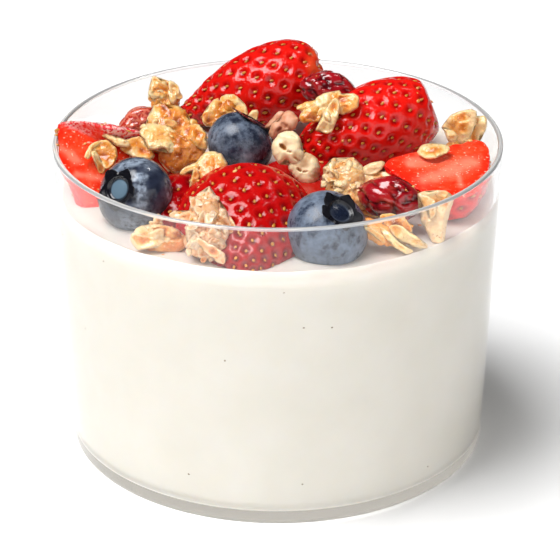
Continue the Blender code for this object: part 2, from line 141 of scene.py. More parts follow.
# Pale streaks on cut faces, as seen from the front: start, end, half width
SLICE_STREAKS = {
    "strawberry_slice_left": [((-11.0, 3.0), (-7.0, 0.0), 0.7), ((-7.0, -2.5), (-1.0, -3.5), 0.6)],
    "strawberry_slice_right": [((-5.6, 1.6), (0.6, 2.8), 0.9), ((2.6, 1.6), (3.0, -2.8), 0.45),
                               ((-3.6, -1.6), (5.6, 1.9), 1.2)],
}
# Outlines of cut faces as seen from the front: anchor, then millimetres to the right and up
SLICE_OUTLINES = {
    "strawberry_slice_left": ((-29.6, -2.1, 56.0), [
        (-12.4, 3.4), (-12.3, 5.2), (-11.3, 6.4), (-9.8, 7.2), (-7.0, 7.5), (-3.0, 7.3), (0.5, 6.8),
        (4.5, 5.6), (8.0, 3.9), (11.0, 1.4), (12.2, -0.4), (10.0, -2.4), (5.0, -5.4), (1.0, -7.4),
        (-2.5, -9.2), (-4.6, -9.9), (-6.0, -8.4), (-7.2, -6.0), (-8.7, -3.4), (-10.7, 0.0)]),
    "strawberry_slice_right": ((29.8, -9.4, 57.0), [
        (8.9, 2.2), (8.8, 3.8), (8.6, 5.2), (7.8, 6.2), (6.8, 6.4), (5.6, 5.9), (4.7, 5.3), (3.9, 5.6),
        (3.0, 5.5), (1.5, 4.8), (-1.0, 4.6), (-4.0, 4.2), (-7.4, 3.2), (-10.3, 2.0), (-10.0, 0.8),
        (-8.0, -1.2), (-5.8, -2.8), (-2.5, -4.6), (1.0, -5.0), (4.5, -4.2), (6.9, -2.0), (8.5, 0.4)]),
}
# Where a crown end is cut off: way the cut looks, distance from the berry's middle
CROWN_CUTS = {"strawberry_right": ((0.93, 0.1, 0.34), 12.6)}
CUT_EDGE = 0.35                     # how softly a cut's edge is rounded
HULL_HOLLOW = 0.16
HULL_REACH = 0.42
LARGE_BERRY = 24.0                  # length above which a berry has the finer mesh
FLESH_DEPTH = 0.45                  # share of the width over which cut flesh turns paler
SKIN_WAVE = 0.35
PIT_DEPTH = 0.5
PIT_SHOULDER = 0.12
PIT_RADII = (0.2, 1.4)
SEED_SPACING = 3.05
SEED_WANDER = 0.25
SEED_SIZE = (0.27, 0.20, 0.52)      # half width, half height, half length
SEED_HEIGHT = 0.12                  # how far a seed's middle stands over its pit

# name: centre, way the crown looks, radius, share of bloom, size of the crown
BLUEBERRIES = {
    "blueberry_left": ((-25.4, -17.0, 55.8), (-0.52, -0.69, 0.50), 6.8, 0.20, 0.80),
    "blueberry_middle": ((-7.0, 4.1, 57.0), (0.50, 0.26, 0.82), 6.3, 0.64, 1.05),
    "blueberry_right": ((8.6, -30.0, 54.6), (0.38, -0.46, 0.80), 7.2, 0.80, 0.76),
}
# Pale bands painted on the skin in the colour of the bloom, as highlights and reflections: way from the
# berry's middle, width
HIGHLIGHT_BANDS = {
    "blueberry_left": [
        ((-0.5, -0.1, 0.86), 0.03), ((-0.25, -0.08, 0.96), 0.03), ((0.0, -0.06, 1.0), 0.03),
        ((0.25, -0.08, 0.96), 0.03), ((0.45, -0.1, 0.89), 0.02), ((0.14, -0.62, 0.77), 0.010),
        ((0.17, -0.80, 0.57), 0.012), ((0.19, -0.92, 0.35), 0.016), ((0.20, -0.98, 0.10), 0.02),
        ((0.92, -0.21, 0.32), 0.03), ((0.86, -0.42, 0.12), 0.02), ((0.1, -0.8, -0.6), 0.16)],
    "blueberry_middle": [((0.2, -0.95, -0.1), 0.02), ((-0.8, -0.5, 0.3), 0.08)],
}
# Degrees from the crown's axis: the floor of the cup, the sepals' inner foot, tip and outer foot
CROWN_ANGLES = (24.0, 26.5, 30.5, 32.5)
# Colour of the floor of each crown's cup
CROWN_DISCS = {"blueberry_left": (0.11, 0.175, 0.235), "blueberry_middle": (0.03, 0.04, 0.07),
               "blueberry_right": (0.008, 0.012, 0.026)}

BERRY_SPOKES = 180
BERRY_FLATNESS = 0.92               # a berry's height as a share of its width

# name: centre, way its length lies, (length, width, height), how frosty its skin is
DRIED_BERRIES = {
    "dried_berry_back": ((9.5, 12.0, 64.6), (1, 0.1, -0.2), (11.0, 7.5, 7.0), 0.0),
    "dried_berry_front": ((19.9, -22.0, 57.3), (1, -0.3, -0.1), (12.0, 8.0, 7.5), 0.0),
    "dried_berry_left": ((-26.4, 18.2, 55.0), (1, 0.1, 0.5), (10.0, 6.0, 6.6), 0.75),
}

# Granola and nuts are drawn as seen from the front: millimetres to the right and up in the plane
# that faces SEEN_WAY, about an anchor, with depths counted towards that way.
SEEN_WAY = Vector((0, -0.904, 0.427)).normalized()
SEEN_AXES = np.array([Vector((1, 0, 0)), SEEN_WAY.cross(Vector((1, 0, 0))), SEEN_WAY])
PLATE_STEP = 0.17
ROW_SHARE = 0.866                   # how far apart rows of even triangles lie, in steps
PLATE_EDGE = 0.32                   # width of a plate's rounded rim
CHIP_EDGE = 0.25
OAT_EDGE = 0.9
CRUMBLY_THICKNESS = (1.8, 2.4)      # a plate is a flake below the first and packed crumbs above the second
# How uneven a plate is, in a coarse and a fine layer
OUTLINE_WANDER = (0.20, 0.12)
CRINKLE = (0.30, 0.14)
TONE_SPREAD = (0.24, 0.14)
NUT_TONE = 0.2
NUT_GRAIN = 0.1
NUT_RELIEF = 0.3                    # share of a plate's fine relief that a nut has
Plate = namedtuple("Plate", "depth lean dome thickness tone outline")

# Small flakes stuck on the plates: how many on each square millimetre of packed crumbs and of any
# plate of a cluster, corners, stretch along and across, thickness, and how far they stand out
CHIPS_ON_CRUMBS = 0.34
CHIPS_ON_CLUSTERS = 0.06
CHIP_CORNERS = 7
CHIP_STRETCH = (1.3, 0.75)
CHIP_THICKNESS = 0.55
CHIP_HEIGHT = 0.15

# name: anchor, [(depth, lean to the right and up, dome, thickness, tone, outline), ...]
# tone runs from 0 for cream to 1 for dark brown; a plate that lies in shade, such as the left cluster's
# lower-right plate, is given a darker tone as painted shade
PLATES = {
    "granola_cluster_left": ((-18.5, -1.0, 61.0), [
        (-1.6, (0.1, -0.5), 1.6, 1.1, 0.44, [
            (-6.0, 0.8), (-5.6, 2.6), (-4.9, 4.6), (-4.4, 5.6), (-3.4, 5.9), (-2.4, 5.6), (-1.8, 5.1),
            (-1.2, 4.8), (-0.6, 5.1), (0.1, 5.3), (0.9, 4.9), (1.7, 4.0), (2.1, 3.0), (2.6, 2.4),
            (2.4, 1.4), (1.4, 0.6), (-0.4, 0.0), (-4.0, 0.0)]),
        (1.7, (-0.1, -0.6), 1.7, 1.2, 0.22, [
            (-6.6, 0.9), (-5.6, 1.9), (-4.6, 2.0), (-3.6, 1.9), (-2.6, 1.8), (-1.6, 1.5), (-0.8, 0.9),
            (0.2, 0.2), (0.7, -0.3), (0.6, -1.4), (0.3, -2.4), (-0.2, -3.2), (-0.9, -3.6), (-1.6, -3.5),
            (-2.2, -2.8), (-3.4, -2.9), (-4.6, -3.0), (-5.4, -2.6), (-5.9, -1.4), (-6.9, 0.0)]),
        (0.7, (0.2, -0.4), 1.4, 1.1, 0.42, [
            (0.9, 0.9), (1.8, 1.6), (2.8, 2.0), (3.8, 1.9), (4.4, 1.3), (5.2, 0.4), (5.5, -0.2),
            (5.1, -1.0), (5.4, -1.6), (5.6, -2.3), (5.2, -2.9), (4.4, -2.9), (3.4, -2.3), (2.4, -1.6),
            (1.2, -1.0), (0.3, -0.2)]),
        (0.2, (0.1, 0.3), 1.6, 1.6, 0.66, [
            (0.2, 0.0), (1.4, -0.4), (2.8, -1.4), (4.0, -2.3), (5.0, -3.2), (4.8, -3.9), (4.0, -4.6),
            (2.9, -5.3), (1.6, -5.8), (0.2, -5.6), (-0.9, -5.0), (-2.0, -4.0), (-4.6, -3.2),
            (-4.0, -2.0), (-1.0, -1.0)]),
        (-0.4, (0.0, 0.2), 0.3, 1.4, 0.48, [
            (-3.2, -4.0), (-2.2, -3.8), (-1.0, -4.4), (-0.9, -6.2), (-1.5, -7.0), (-2.4, -6.2),
            (-3.3, -5.2)]),
    ]),
    "granola_lump_back_left": ((-21.8, 27.0, 57.0), [
        (-0.6, (0.1, -0.2), 0.9, 2.2, 0.30, [
            (-3.4, 0.4), (-3.2, 2.0), (-2.9, 3.4), (-2.4, 4.3), (-1.6, 4.2), (-1.0, 3.7), (-0.2, 3.7),
            (0.7, 3.6), (1.4, 3.1), (2.0, 2.4), (2.6, 1.8), (2.9, 1.2), (2.9, 0.2), (2.6, -0.8),
            (1.8, -1.7), (0.9, -1.9), (-0.2, -1.4), (-1.4, -1.2), (-2.8, -0.6)]),
        (0.8, (-0.2, -0.2), 0.9, 1.2, 0.22, [
            (-2.7, 0.2), (-2.9, 1.6), (-2.4, 3.2), (-1.2, 3.4), (0.0, 3.0), (0.8, 2.2), (0.9, 1.2),
            (0.4, 0.2), (-0.5, -0.3), (-1.6, -0.1)]),
        (0.5, (0.3, 0.0), 0.4, 1.3, 0.36, [
            (1.3, 2.8), (2.2, 1.9), (2.4, 0.8), (1.9, -0.5), (1.0, -1.1), (0.5, -0.7), (1.2, 0.3),
            (1.4, 1.5)]),
    ]),
    "granola_flake_middle": ((-8.8, 11.0, 60.0), [
        (0.3, (-0.2, -0.2), 0.9, 1.4, 0.38, [
            (-5.4, -0.6), (-5.3, 0.3), (-4.6, 1.2), (-4.2, 2.0), (-3.4, 2.8), (-2.4, 3.1), (-1.6, 2.6),
            (-1.2, 1.4), (-0.6, 0.4), (-0.6, -1.8), (-2.4, -2.4), (-4.2, -2.2), (-5.2, -1.6)]),
        (-0.3, (0.1, -0.3), 1.2, 1.3, 0.28, [
            (-2.2, 2.2), (-1.9, 3.4), (-1.0, 4.0), (0.0, 4.1), (0.8, 3.9), (1.6, 3.2), (2.3, 2.5),
            (2.8, 1.6), (3.1, 0.7), (3.3, -1.0), (2.6, -2.6), (0.0, -2.8), (-1.6, -1.6), (-2.0, 0.4)]),
        (0.2, (0.2, 0.0), 0.4, 1.2, 0.18, [
            (3.2, 0.0), (3.5, 0.5), (4.2, 0.9), (5.0, 0.8), (5.1, -0.2), (4.7, -1.1), (3.8, -1.6),
            (3.1, -1.0)]),
    ]),
    "granola_cluster_right_top": ((8.5, 2.5, 64.5), [
        (-0.8, (0.0, -0.5), 0.7, 1.3, 0.10, [
            (-1.8, 1.2), (-1.2, 2.4), (-0.4, 2.9), (0.4, 3.2), (1.0, 3.5), (2.0, 3.4), (2.9, 3.7),
            (3.3, 3.2), (3.2, 2.4), (2.6, 1.2), (1.4, 0.2), (0.2, -0.4), (-0.8, 0.0), (-1.6, 0.6)]),
        (-0.2, (0.2, -0.2), 0.9, 1.6, 0.20, [
            (2.7, 2.8), (3.6, 2.8), (4.6, 2.8), (5.6, 3.0), (6.4, 2.4), (6.6, 1.2), (6.2, 0.2),
            (5.6, -0.3), (4.4, -0.6), (3.2, -0.8), (2.5, 0.2), (2.3, 1.6)]),
        (1.2, (0.0, 0.1), 0.5, 1.4, 0.04, [
            (1.8, 1.9), (2.5, 1.8), (2.8, 0.8), (2.6, -0.8), (2.2, -2.2), (1.8, -3.6), (1.2, -4.4),
            (0.2, -4.5), (-0.6, -4.1), (-1.5, -3.9), (-1.0, -2.8), (-0.4, -1.4), (0.2, -0.2), (0.9, 0.9)]),
        (0.1, (-0.2, 0.1), 0.8, 1.5, 0.44, [
            (-3.6, 0.2), (-2.6, 0.3), (-1.6, 0.9), (-0.4, 0.6), (0.4, -0.4), (0.0, -1.6), (-1.2, -2.4),
            (-2.4, -2.4), (-3.6, -2.6), (-4.6, -2.0), (-4.5, -1.0), (-3.8, -0.4)]),
    ]),
    "granola_flake_right": ((34.5, 6.5, 57.0), [
        (0.6, (0.3, 0.2), 1.0, 1.1, 0.10, [
            (-3.1, 3.2), (-2.2, 4.2), (-1.0, 5.0), (0.4, 5.4), (1.6, 5.4), (2.4, 5.0), (2.6, 4.0),
            (2.5, 2.8), (2.1, 1.6), (1.6, 0.4), (0.8, -1.0), (-0.6, -1.4), (-1.4, 0.0), (-2.2, 1.2),
            (-3.6, 1.8), (-3.8, 2.4)]),
        (-0.4, (0.3, 0.2), 0.8, 1.1, 0.02, [
            (1.0, 0.6), (1.4, 2.8), (2.2, 4.0), (3.2, 4.3), (4.0, 4.2), (4.6, 3.4), (4.5, 2.2),
            (4.0, 1.2), (3.4, 0.2), (2.8, -1.4), (1.2, -1.6)]),
        (1.4, (-0.2, 0.1), 0.6, 1.0, 0.26, [
            (-3.9, 2.2), (-3.2, 1.7), (-1.8, 1.3), (-1.0, 0.6), (-1.3, -0.6), (-2.6, -0.8), (-3.1, 0.4),
            (-3.4, 1.3)]),
    ]),
    "granola_cluster_front_right": ((14.5, -17.5, 59.5), [
        (0.8, (-0.1, -0.4), 1.6, 2.6, 0.12, [
            (-6.4, 1.6), (-5.4, 2.2), (-4.8, 3.3), (-4.2, 3.4), (-3.8, 2.6), (-2.6, 3.0), (-1.2, 3.5),
            (-0.4, 3.1), (0.6, 2.1), (1.0, 1.0), (0.6, 0.0), (-0.2, -1.0), (-1.0, -2.4), (-2.0, -3.4),
            (-3.4, -3.8), (-4.2, -3.2), (-4.8, -2.0), (-4.6, -1.2), (-5.6, -1.2), (-6.2, -0.4),
            (-6.0, 0.8)]),
        (-0.6, (0.1, -0.4), 0.6, 1.2, 0.04, [
            (0.4, 1.6), (2.0, 2.4), (3.4, 2.8), (4.5, 2.7), (4.4, 2.0), (3.8, 1.2), (3.0, 0.4),
            (1.8, 0.2), (0.4, 0.4)]),
        (0.2, (0.2, -0.5), 1.0, 1.3, 0.16, [
            (0.2, 0.2), (1.6, 1.0), (2.8, 1.1), (4.2, 0.9), (5.2, 0.6), (6.0, -0.2), (6.8, -0.8),
            (5.6, -1.4), (4.0, -1.4), (2.6, -2.0), (1.2, -3.0), (0.2, -3.6), (-0.8, -3.2), (-0.6, -1.6)]),
        (1.0, (0.1, 0.3), 0.5, 1.2, 0.38, [
            (-2.2, -3.2), (-0.6, -3.2), (0.6, -3.2), (2.0, -4.4), (3.4, -5.8), (4.0, -6.9), (2.6, -7.3),
            (1.2, -6.8), (0.0, -5.6), (-1.2, -4.4)]),
        (1.6, (0.1, 0.3), 0.3, 0.9, 0.28, [
            (-1.8, -4.0), (-0.9, -5.2), (0.0, -6.6), (0.6, -7.9), (-0.1, -8.1), (-1.1, -6.7),
            (-1.8, -5.4)]),
    ]),
    "granola_slices_front": ((18.5, -30.0, 55.0), [
        (0.6, (0.2, 0.3), 0.6, 1.0, 0.24, [
            (0.7, 0.5), (1.6, 0.9), (2.8, 0.6), (4.2, -0.4), (5.6, -1.4), (6.8, -2.3), (8.1, -3.0),
            (7.8, -3.6), (6.4, -3.4), (4.6, -2.9), (3.2, -2.4), (2.0, -1.6), (1.2, -0.6)]),
        (1.3, (0.2, 0.3), 0.5, 0.9, 0.18, [
            (-0.8, 0.4), (0.4, -0.2), (1.4, -1.2), (2.6, -2.4), (4.0, -3.3), (5.0, -3.8), (4.6, -4.3),
            (3.4, -4.2), (2.0, -3.2), (0.6, -2.0), (-0.5, -0.7)]),
        (1.9, (0.2, 0.3), 0.3, 0.8, 0.28, [
            (-3.9, 0.4), (-2.6, 0.4), (-1.2, -0.4), (0.0, -1.6), (-0.1, -2.5), (-1.4, -1.7), (-2.8, -0.5)]),
        (-0.6, (0.1, 0.2), 0.4, 1.1, 0.44, [
            (-0.6, 2.2), (1.6, 2.6), (3.8, 1.8), (4.8, 0.4), (4.6, -1.2), (2.4, -1.0), (0.4, 0.2)]),
    ]),
    "granola_flake_front_right": ((27.0, -27.0, 56.5), [
        (0.2, (0.4, 0.3), 0.6, 1.2, 0.14, [
            (-2.3, 3.4), (-1.2, 3.9), (-0.4, 3.6), (0.6, 3.9), (1.8, 4.1), (2.8, 3.7), (3.9, 3.3),
            (4.2, 2.4), (4.1, 1.5), (3.5, 0.8), (3.2, -0.6), (2.9, -2.0), (2.6, -3.4), (2.3, -4.6),
            (1.4, -5.1), (0.3, -4.9), (-0.4, -4.2), (-1.1, -2.8), (-1.9, -1.2), (-1.7, 0.0),
            (-1.1, 1.0), (-1.9, 2.2)]),
        (1.0, (0.3, 0.1), 0.4, 0.8, 0.24, [
            (-2.0, 2.8), (-0.8, 3.3), (0.4, 2.4), (0.7, 1.0), (0.2, -0.4), (-0.6, -0.8), (-0.9, 0.6)]),
    ]),
    "granola_cluster_front_left": ((-21.0, -30.0, 53.2), [
        (-0.4, (0.0, 0.1), 1.4, 2.2, 0.28, [
            (-3.2, 1.8), (-2.4, 2.4), (-1.4, 2.2), (-0.4, 2.6), (0.8, 2.4), (2.0, 2.2), (3.2, 1.8),
            (4.4, 0.8), (5.0, 0.2), (5.3, -0.8), (5.0, -1.8), (3.8, -1.8), (2.2, -1.5), (0.0, -1.4),
            (-2.4, -1.2), (-3.6, 0.6)]),
        (1.0, (-0.2, 0.0), 0.9, 1.5, 0.14, [
            (-4.6, 0.2), (-4.0, 0.9), (-3.2, 0.9), (-2.0, 0.5), (-0.8, 0.2), (0.6, 0.5), (1.5, 0.3),
            (1.7, -0.5), (1.0, -1.2), (0.0, -1.6), (-1.4, -1.8), (-2.6, -2.0), (-3.8, -1.8),
            (-4.5, -1.1), (-4.7, -0.4)]),
        (0.7, (-0.2, -0.2), 0.8, 1.6, 0.34, [
            (-3.9, 0.6), (-3.6, 1.6), (-2.7, 2.3), (-1.9, 2.1), (-1.1, 1.2), (-0.6, 0.4), (-1.8, 0.0),
            (-3.0, 0.2)]),
    ]),
    "granola_chunk_front": ((-12.8, -34.0, 57.0), [
        (0.0, (0.1, -0.3), 1.6, 2.6, 0.14, [
            (-2.7, 3.4), (-2.1, 4.6), (-1.6, 5.6), (-0.6, 6.4), (0.4, 6.6), (0.8, 7.2), (1.3, 6.4),
            (2.0, 5.4), (2.6, 4.4), (2.9, 3.7), (3.8, 3.2), (4.1, 2.4), (4.4, 1.4), (4.8, 0.2),
            (3.4, -0.6), (1.4, -1.0), (-0.4, -1.2), (-2.4, -0.8), (-2.8, 0.8), (-2.5, 2.2)]),
        (-0.8, (0.0, 0.0), 0.5, 1.6, 0.36, [
            (-6.0, 2.0), (-5.6, 2.8), (-5.0, 3.0), (-4.4, 2.6), (-3.4, 2.8), (-2.4, 2.9), (-1.6, 2.0),
            (-2.2, 1.0), (-4.4, 1.3)]),
        (0.4, (0.0, 0.2), 1.4, 2.4, 0.20, [
            (-2.7, 0.6), (-2.9, -1.4), (-2.8, -3.0), (-2.6, -4.2), (-1.6, -4.8), (-0.6, -5.2), (0.6, -5.4),
            (1.8, -5.8), (2.3, -5.0), (2.9, -4.0), (3.8, -3.5), (4.0, -2.4), (4.4, -1.2), (4.4, 0.0),
            (2.4, 0.8), (0.2, 0.9)]),
        (1.7, (0.2, 0.3), 0.5, 1.2, 0.24, [
            (-1.2, -1.6), (0.0, -2.0), (1.2, -2.7), (2.4, -3.5), (3.6, -4.3), (3.9, -5.4), (3.4, -6.1),
            (2.4, -6.0), (1.6, -5.2), (0.6, -4.2), (-0.4, -3.2), (-1.3, -2.4)]),
    ]),
    "granola_flake_fork": ((-13.0, -14.5, 61.0), [
        (0.0, (0.1, -0.5), 0.9, 1.3, 0.38, [
            (-1.9, -0.2), (-1.2, 0.8), (-0.4, 1.6), (0.6, 2.1), (1.8, 2.1), (2.8, 1.6), (3.2, 0.8),
            (3.8, -0.1), (3.8, -0.8), (3.4, -1.2), (3.2, -2.0), (2.2, -2.6), (0.8, -3.1), (-0.4, -3.2),
            (-1.2, -2.8), (-1.4, -2.0), (-1.8, -1.2)]),
        (0.2, (-0.2, 0.0), 0.2, 1.0, 0.34, [
            (-4.4, -1.8), (-3.8, -1.0), (-2.8, -0.5), (-1.6, -0.1), (-0.8, -0.8), (-1.6, -1.4),
            (-2.8, -1.6), (-3.6, -2.1), (-4.2, -2.2)]),
        (0.6, (0.0, 0.3), 0.3, 1.0, 0.32, [
            (-2.0, -1.0), (-1.2, -1.2), (-1.0, -2.6), (-1.3, -4.0), (-1.5, -5.0), (-2.2, -5.4),
            (-3.0, -5.2), (-2.6, -4.0), (-2.8, -3.2), (-2.3, -2.4)]),
    ]),
    "granola_flake_left": ((-32.8, -4.5, 58.0), [
        (0.0, (0.1, -0.3), -0.6, 1.2, 0.54, [
            (-1.3, 1.8), (0.0, 2.8), (0.9, 3.0), (1.8, 2.8), (2.4, 2.3), (3.2, 1.4), (3.4, 0.2),
            (3.0, -1.2), (2.2, -2.2), (1.2, -2.4), (0.5, -1.4), (-0.3, -0.4), (-1.0, 0.6)]),
        (0.6, (-0.3, -0.2), 0.3, 1.0, 0.28, [
            (-2.4, 0.2), (-2.2, 1.2), (-1.6, 2.0), (-0.4, 2.7), (0.5, 2.9), (0.2, 2.2), (-0.6, 1.5),
            (-1.0, 0.6), (-1.4, -0.2), (-1.8, -0.6), (-2.4, -0.3)]),
        (1.0, (0.0, 0.3), 0.2, 1.0, 0.22, [
            (-1.2, 0.8), (-0.4, 0.9), (0.0, 0.2), (0.6, -0.8), (1.1, -1.6), (1.2, -2.4), (0.8, -3.0),
            (0.2, -3.2), (-0.2, -2.4), (-0.4, -1.4), (-1.2, -0.2)]),
    ]),
    "granola_flake_left_long": ((-28.6, -1.8, 59.9), [
        (0.5, (0.0, -0.3), 0.4, 1.2, 0.14, [
            (-4.2, 1.4), (-3.2, 1.9), (-2.0, 1.3), (-0.8, 0.6), (0.8, 0.2), (1.6, -0.6), (0.8, -1.2),
            (-0.8, -1.0), (-2.0, -0.1), (-3.2, 0.6)]),
        (0.0, (0.0, -0.3), 0.7, 1.3, 0.36, [
            (0.0, 0.2), (1.4, 0.6), (2.6, 0.9), (3.4, 0.7), (4.2, 0.0), (4.8, -1.2), (5.6, -1.8),
            (6.0, -2.8), (5.2, -3.4), (3.6, -3.2), (2.0, -2.8), (0.8, -2.2), (-0.2, -1.2)]),
    ]),
}

# An oat that lies on the right slice, drawn in the same way, and its browner middle
OAT = ((28.6, -6.0, 58.9), (
    0.0, (0.05, -1.2), 0.3, 1.1, 0.10, [
        (-3.2, 0.7), (-2.8, 1.4), (-2.0, 2.0), (-0.8, 2.2), (0.8, 2.2), (2.0, 2.1), (2.8, 1.7), (2.7, 0.9),
        (2.2, 0.3), (1.0, -0.1), (0.2, -0.6), (-0.8, -0.8), (-1.8, -0.7), (-2.8, 0.0)]))
OAT_MIDDLE = (0.0, 0.8)
OAT_MIDDLE_SIZE = (2.0, 0.9)

# Loose crumbs round each lump: how many, how near, how much farther at most, least and greatest size
CRUMBS_EACH = 7
CRUMB_NEAREST = 3.5
CRUMB_SPREAD = 6
CRUMB_SIZE = (0.22, 0.62)

# Specks in the yogurt: how many, between which heights, least and greatest size
SPECKS = 34
SPECK_HEIGHTS = (6, 48)
SPECK_SIZE = (0.15, 0.30)

# How far a lump's colour leans from amber to a pale pinkish tan
PINKISH = {"granola_chunk_front": 1.0, "granola_cluster_front_left": 0.4,
           "granola_cluster_front_right": 0.4, "granola_flake_front_right": 0.5}

# Granola that fills the space under the plates: centre, flat way, length way, size, curl
CORES = {
    "granola_cluster_left": [
        ((-17.8, -2.4, 57.8), (0.1, -0.9, 0.4), (1, 0, -0.3), (8.4, 7.0, 4.0), 0.0),
        ((-17.6, 2.8, 56.6), (0, 0, 1), (1, 0.2, 0), (7.6, 7.0, 10.0), 0.0),
    ],
    "granola_lump_back_left": [((-21.8, 27.8, 54.6), (0, 0, 1), (1, 0, 0), (5.4, 5.0, 7.6), 0.0)],
    "granola_flake_middle": [((-8.8, 12.2, 56.4), (0, -1, 0.1), (0, 0.1, 1), (11.0, 6.4, 3.4), 0.0)],
    "granola_cluster_right_top": [((9.0, 3.6, 64.6), (0, -0.5, 0.8), (1, 0.1, 0.1), (10.0, 4.0, 2.0), 0.0)],
    "granola_flake_right": [((33.6, 7.1, 53.6), (-0.5, -0.8, 0.2), (0.3, 0.2, 1), (7.4, 6.0, 1.6), 0.0)],
    "granola_cluster_front_right": [
        ((11.6, -18.2, 59.4), (-0.2, -0.7, 0.7), (1, 0, 0.4), (7.0, 6.6, 3.2), 0.4),
        ((13.4, -19.8, 57.4), (0, -0.8, 0.6), (1, 0, -0.3), (7.0, 5.6, 3.6), 0.0),
    ],
    "granola_slices_front": [
        ((18.2, -30.0, 54.0), (0.4, -0.6, 0.7), (0.9, -0.1, -0.4), (8.0, 4.0, 1.6), 0.0)],
    "granola_cluster_front_left": [((-20.6, -29.2, 52.2), (0, 0, 1), (1, -0.4, 0), (8.6, 4.6, 2.6), 0.0)],
    "granola_chunk_front": [
        ((-12.4, -32.6, 58.6), (-0.2, -0.8, 0.5), (0.6, -0.2, 0.8), (6.6, 5.6, 3.0), 0.0),
        ((-12.8, -33.6, 55.0), (-0.3, -0.9, 0.1), (0.2, 0, 1), (7.0, 6.6, 3.0), 0.0),
    ],
}
# The mesh of a flake in a core, and the width of the faces of a joined lump
FLAKE_RINGS = 16
FLAKE_SPOKES = 64
LUMP_VOXEL = 0.2

# Nuts, drawn as the granola is: (depth, lean, dome, thickness, outline, grooves),
# with each groove as (start, end, half width, depth)
NUT_PLATES = {
    "nut_curl": ((3.2, -7.0, 59.5), [
        (0.4, (0.1, 0.0), 0.6, 2.8, [
            (-4.4, 1.2), (-4.1, 2.4), (-3.2, 3.4), (-2.2, 4.1), (-1.0, 4.2), (0.2, 3.7), (0.9, 2.9),
            (1.0, 2.0), (0.9, 1.0), (1.5, 0.0), (1.6, -1.2), (0.8, -2.2), (-0.4, -2.2), (-1.1, -1.5),
            (-1.7, -0.9), (-2.4, -1.4), (-2.9, -1.8), (-3.6, -1.0), (-4.1, 0.2)],
         [((-2.9, 1.8), (-1.6, 0.6), 0.3, 1.2), ((-1.8, 0.5), (-0.6, 0.2), 0.16, 0.5),
          ((-0.4, -0.6), (0.9, -1.5), 0.16, 0.4), ((-1.0, 3.5), (0.4, 2.8), 0.14, 0.3)]),
        (-0.2, (0.1, 0.0), 0.6, 3.0, [
            (0.4, 0.4), (1.2, 0.2), (2.0, 0.3), (3.0, -0.1), (3.9, -1.0), (4.3, -2.3), (4.2, -4.1),
            (3.6, -5.6), (2.7, -6.6), (1.8, -6.3), (0.7, -5.1), (-0.6, -3.8), (-1.3, -2.6), (-1.0, -1.4),
            (-0.2, -0.6)],
         [((0.2, -2.6), (1.2, -3.3), 0.2, 0.8), ((1.2, -3.3), (2.4, -3.2), 0.14, 0.5)]),
    ]),
    "nut_red": ((0.3, 2.5, 62.2), [
        (-0.8, (0.2, 0.0), 0.3, 1.8, [
            (-2.8, -1.1), (-2.2, -0.4), (-1.4, 0.6), (-0.6, 1.4), (0.2, 1.9), (0.9, 1.6), (0.6, 0.6),
            (-0.2, -0.2), (-1.2, -0.9), (-2.2, -1.5)], []),
        (0.4, (0.1, -0.2), 0.6, 3.2, [
            (-1.7, -1.0), (-1.0, -0.4), (0.0, 0.1), (0.4, 0.9), (1.0, 1.6), (1.8, 1.9), (2.8, 1.3),
            (3.5, 0.4), (3.3, -0.8), (2.8, -1.6), (1.6, -2.2), (0.2, -2.2), (-0.6, -2.9), (-1.2, -3.3),
            (-2.0, -2.4), (-1.8, -1.6)],
         [((0.2, -0.4), (1.6, -1.4), 0.4, 0.6), ((-0.8, -2.2), (0.6, -1.2), 0.3, 0.4)]),
    ]),
}


# ---------------------------------------------------------------- repeatable unevenness

# Weights that scatter whole-numbered cells over the range from 0 to 1
CELL_WEIGHTS = np.array([127.1, 311.7, 74.7])
SEED_WEIGHT = 53.37
SCATTER = 43758.5453

# A step that spreads successive values evenly over the range from 0 to 1
GOLDEN_SHARE = 0.618


def chance(cells, seed):
    """A repeatable value from 0 to 1 for each whole-numbered cell."""
    mixed = cells @ CELL_WEIGHTS + seed * SEED_WEIGHT
    return np.mod(np.sin(mixed) * SCATTER, 1.0)


def bumps(points, size, seed=0):
    """Smooth unevenness from -1 to 1, with bumps about size wide."""
    scaled = points / size
    base = np.floor(scaled)
    part = scaled - base
    ease = part * part * (3 - 2 * part)
    total = np.zeros(len(points))
    for corner in np.ndindex(2, 2, 2):
        corner = np.array(corner)
        weight = np.prod(np.where(corner, ease, 1 - ease), axis=1)
        total += weight * chance(base + corner, seed)
    return 2 * total - 1


def rough(points, size, layers, seed=0):
    """Unevenness in layers, each half as wide and half as deep as the one before."""
    return sum(bumps(points, size / 2 ** layer, seed + layer) / 2 ** layer for layer in range(layers))


def two_layers(points, depths, sizes, seed):
    """Unevenness in a coarse and a fine layer."""
    return depths[0] * bumps(points, sizes[0], seed) + depths[1] * bumps(points, sizes[1], seed + 1)


def step_up(value, low, high):
    """0 below low, 1 above high, and smooth between them."""
    part = np.clip((value - low) / (high - low), 0, 1)
    return part * part * (3 - 2 * part)


# ---------------------------------------------------------------- meshes

def frame_of(length_way, flat_way):
    """Rotation whose local Z runs along length_way and whose local Y is nearest flat_way."""
    z_axis = Vector(length_way).normalized()
    y_axis = Vector(flat_way)
    y_axis = (y_axis - z_axis * y_axis.dot(z_axis)).normalized()
    x_axis = y_axis.cross(z_axis)
    return Matrix((x_axis, y_axis, z_axis)).transposed()


def placed(points, centre, rotation):
    """Local points, in millimetres, turned and moved to where they belong."""
    return points @ np.array(rotation).T + np.array(centre)


def unit_way(way):
    """A way as an array of length 1."""
    return np.array(Vector(way).normalized())


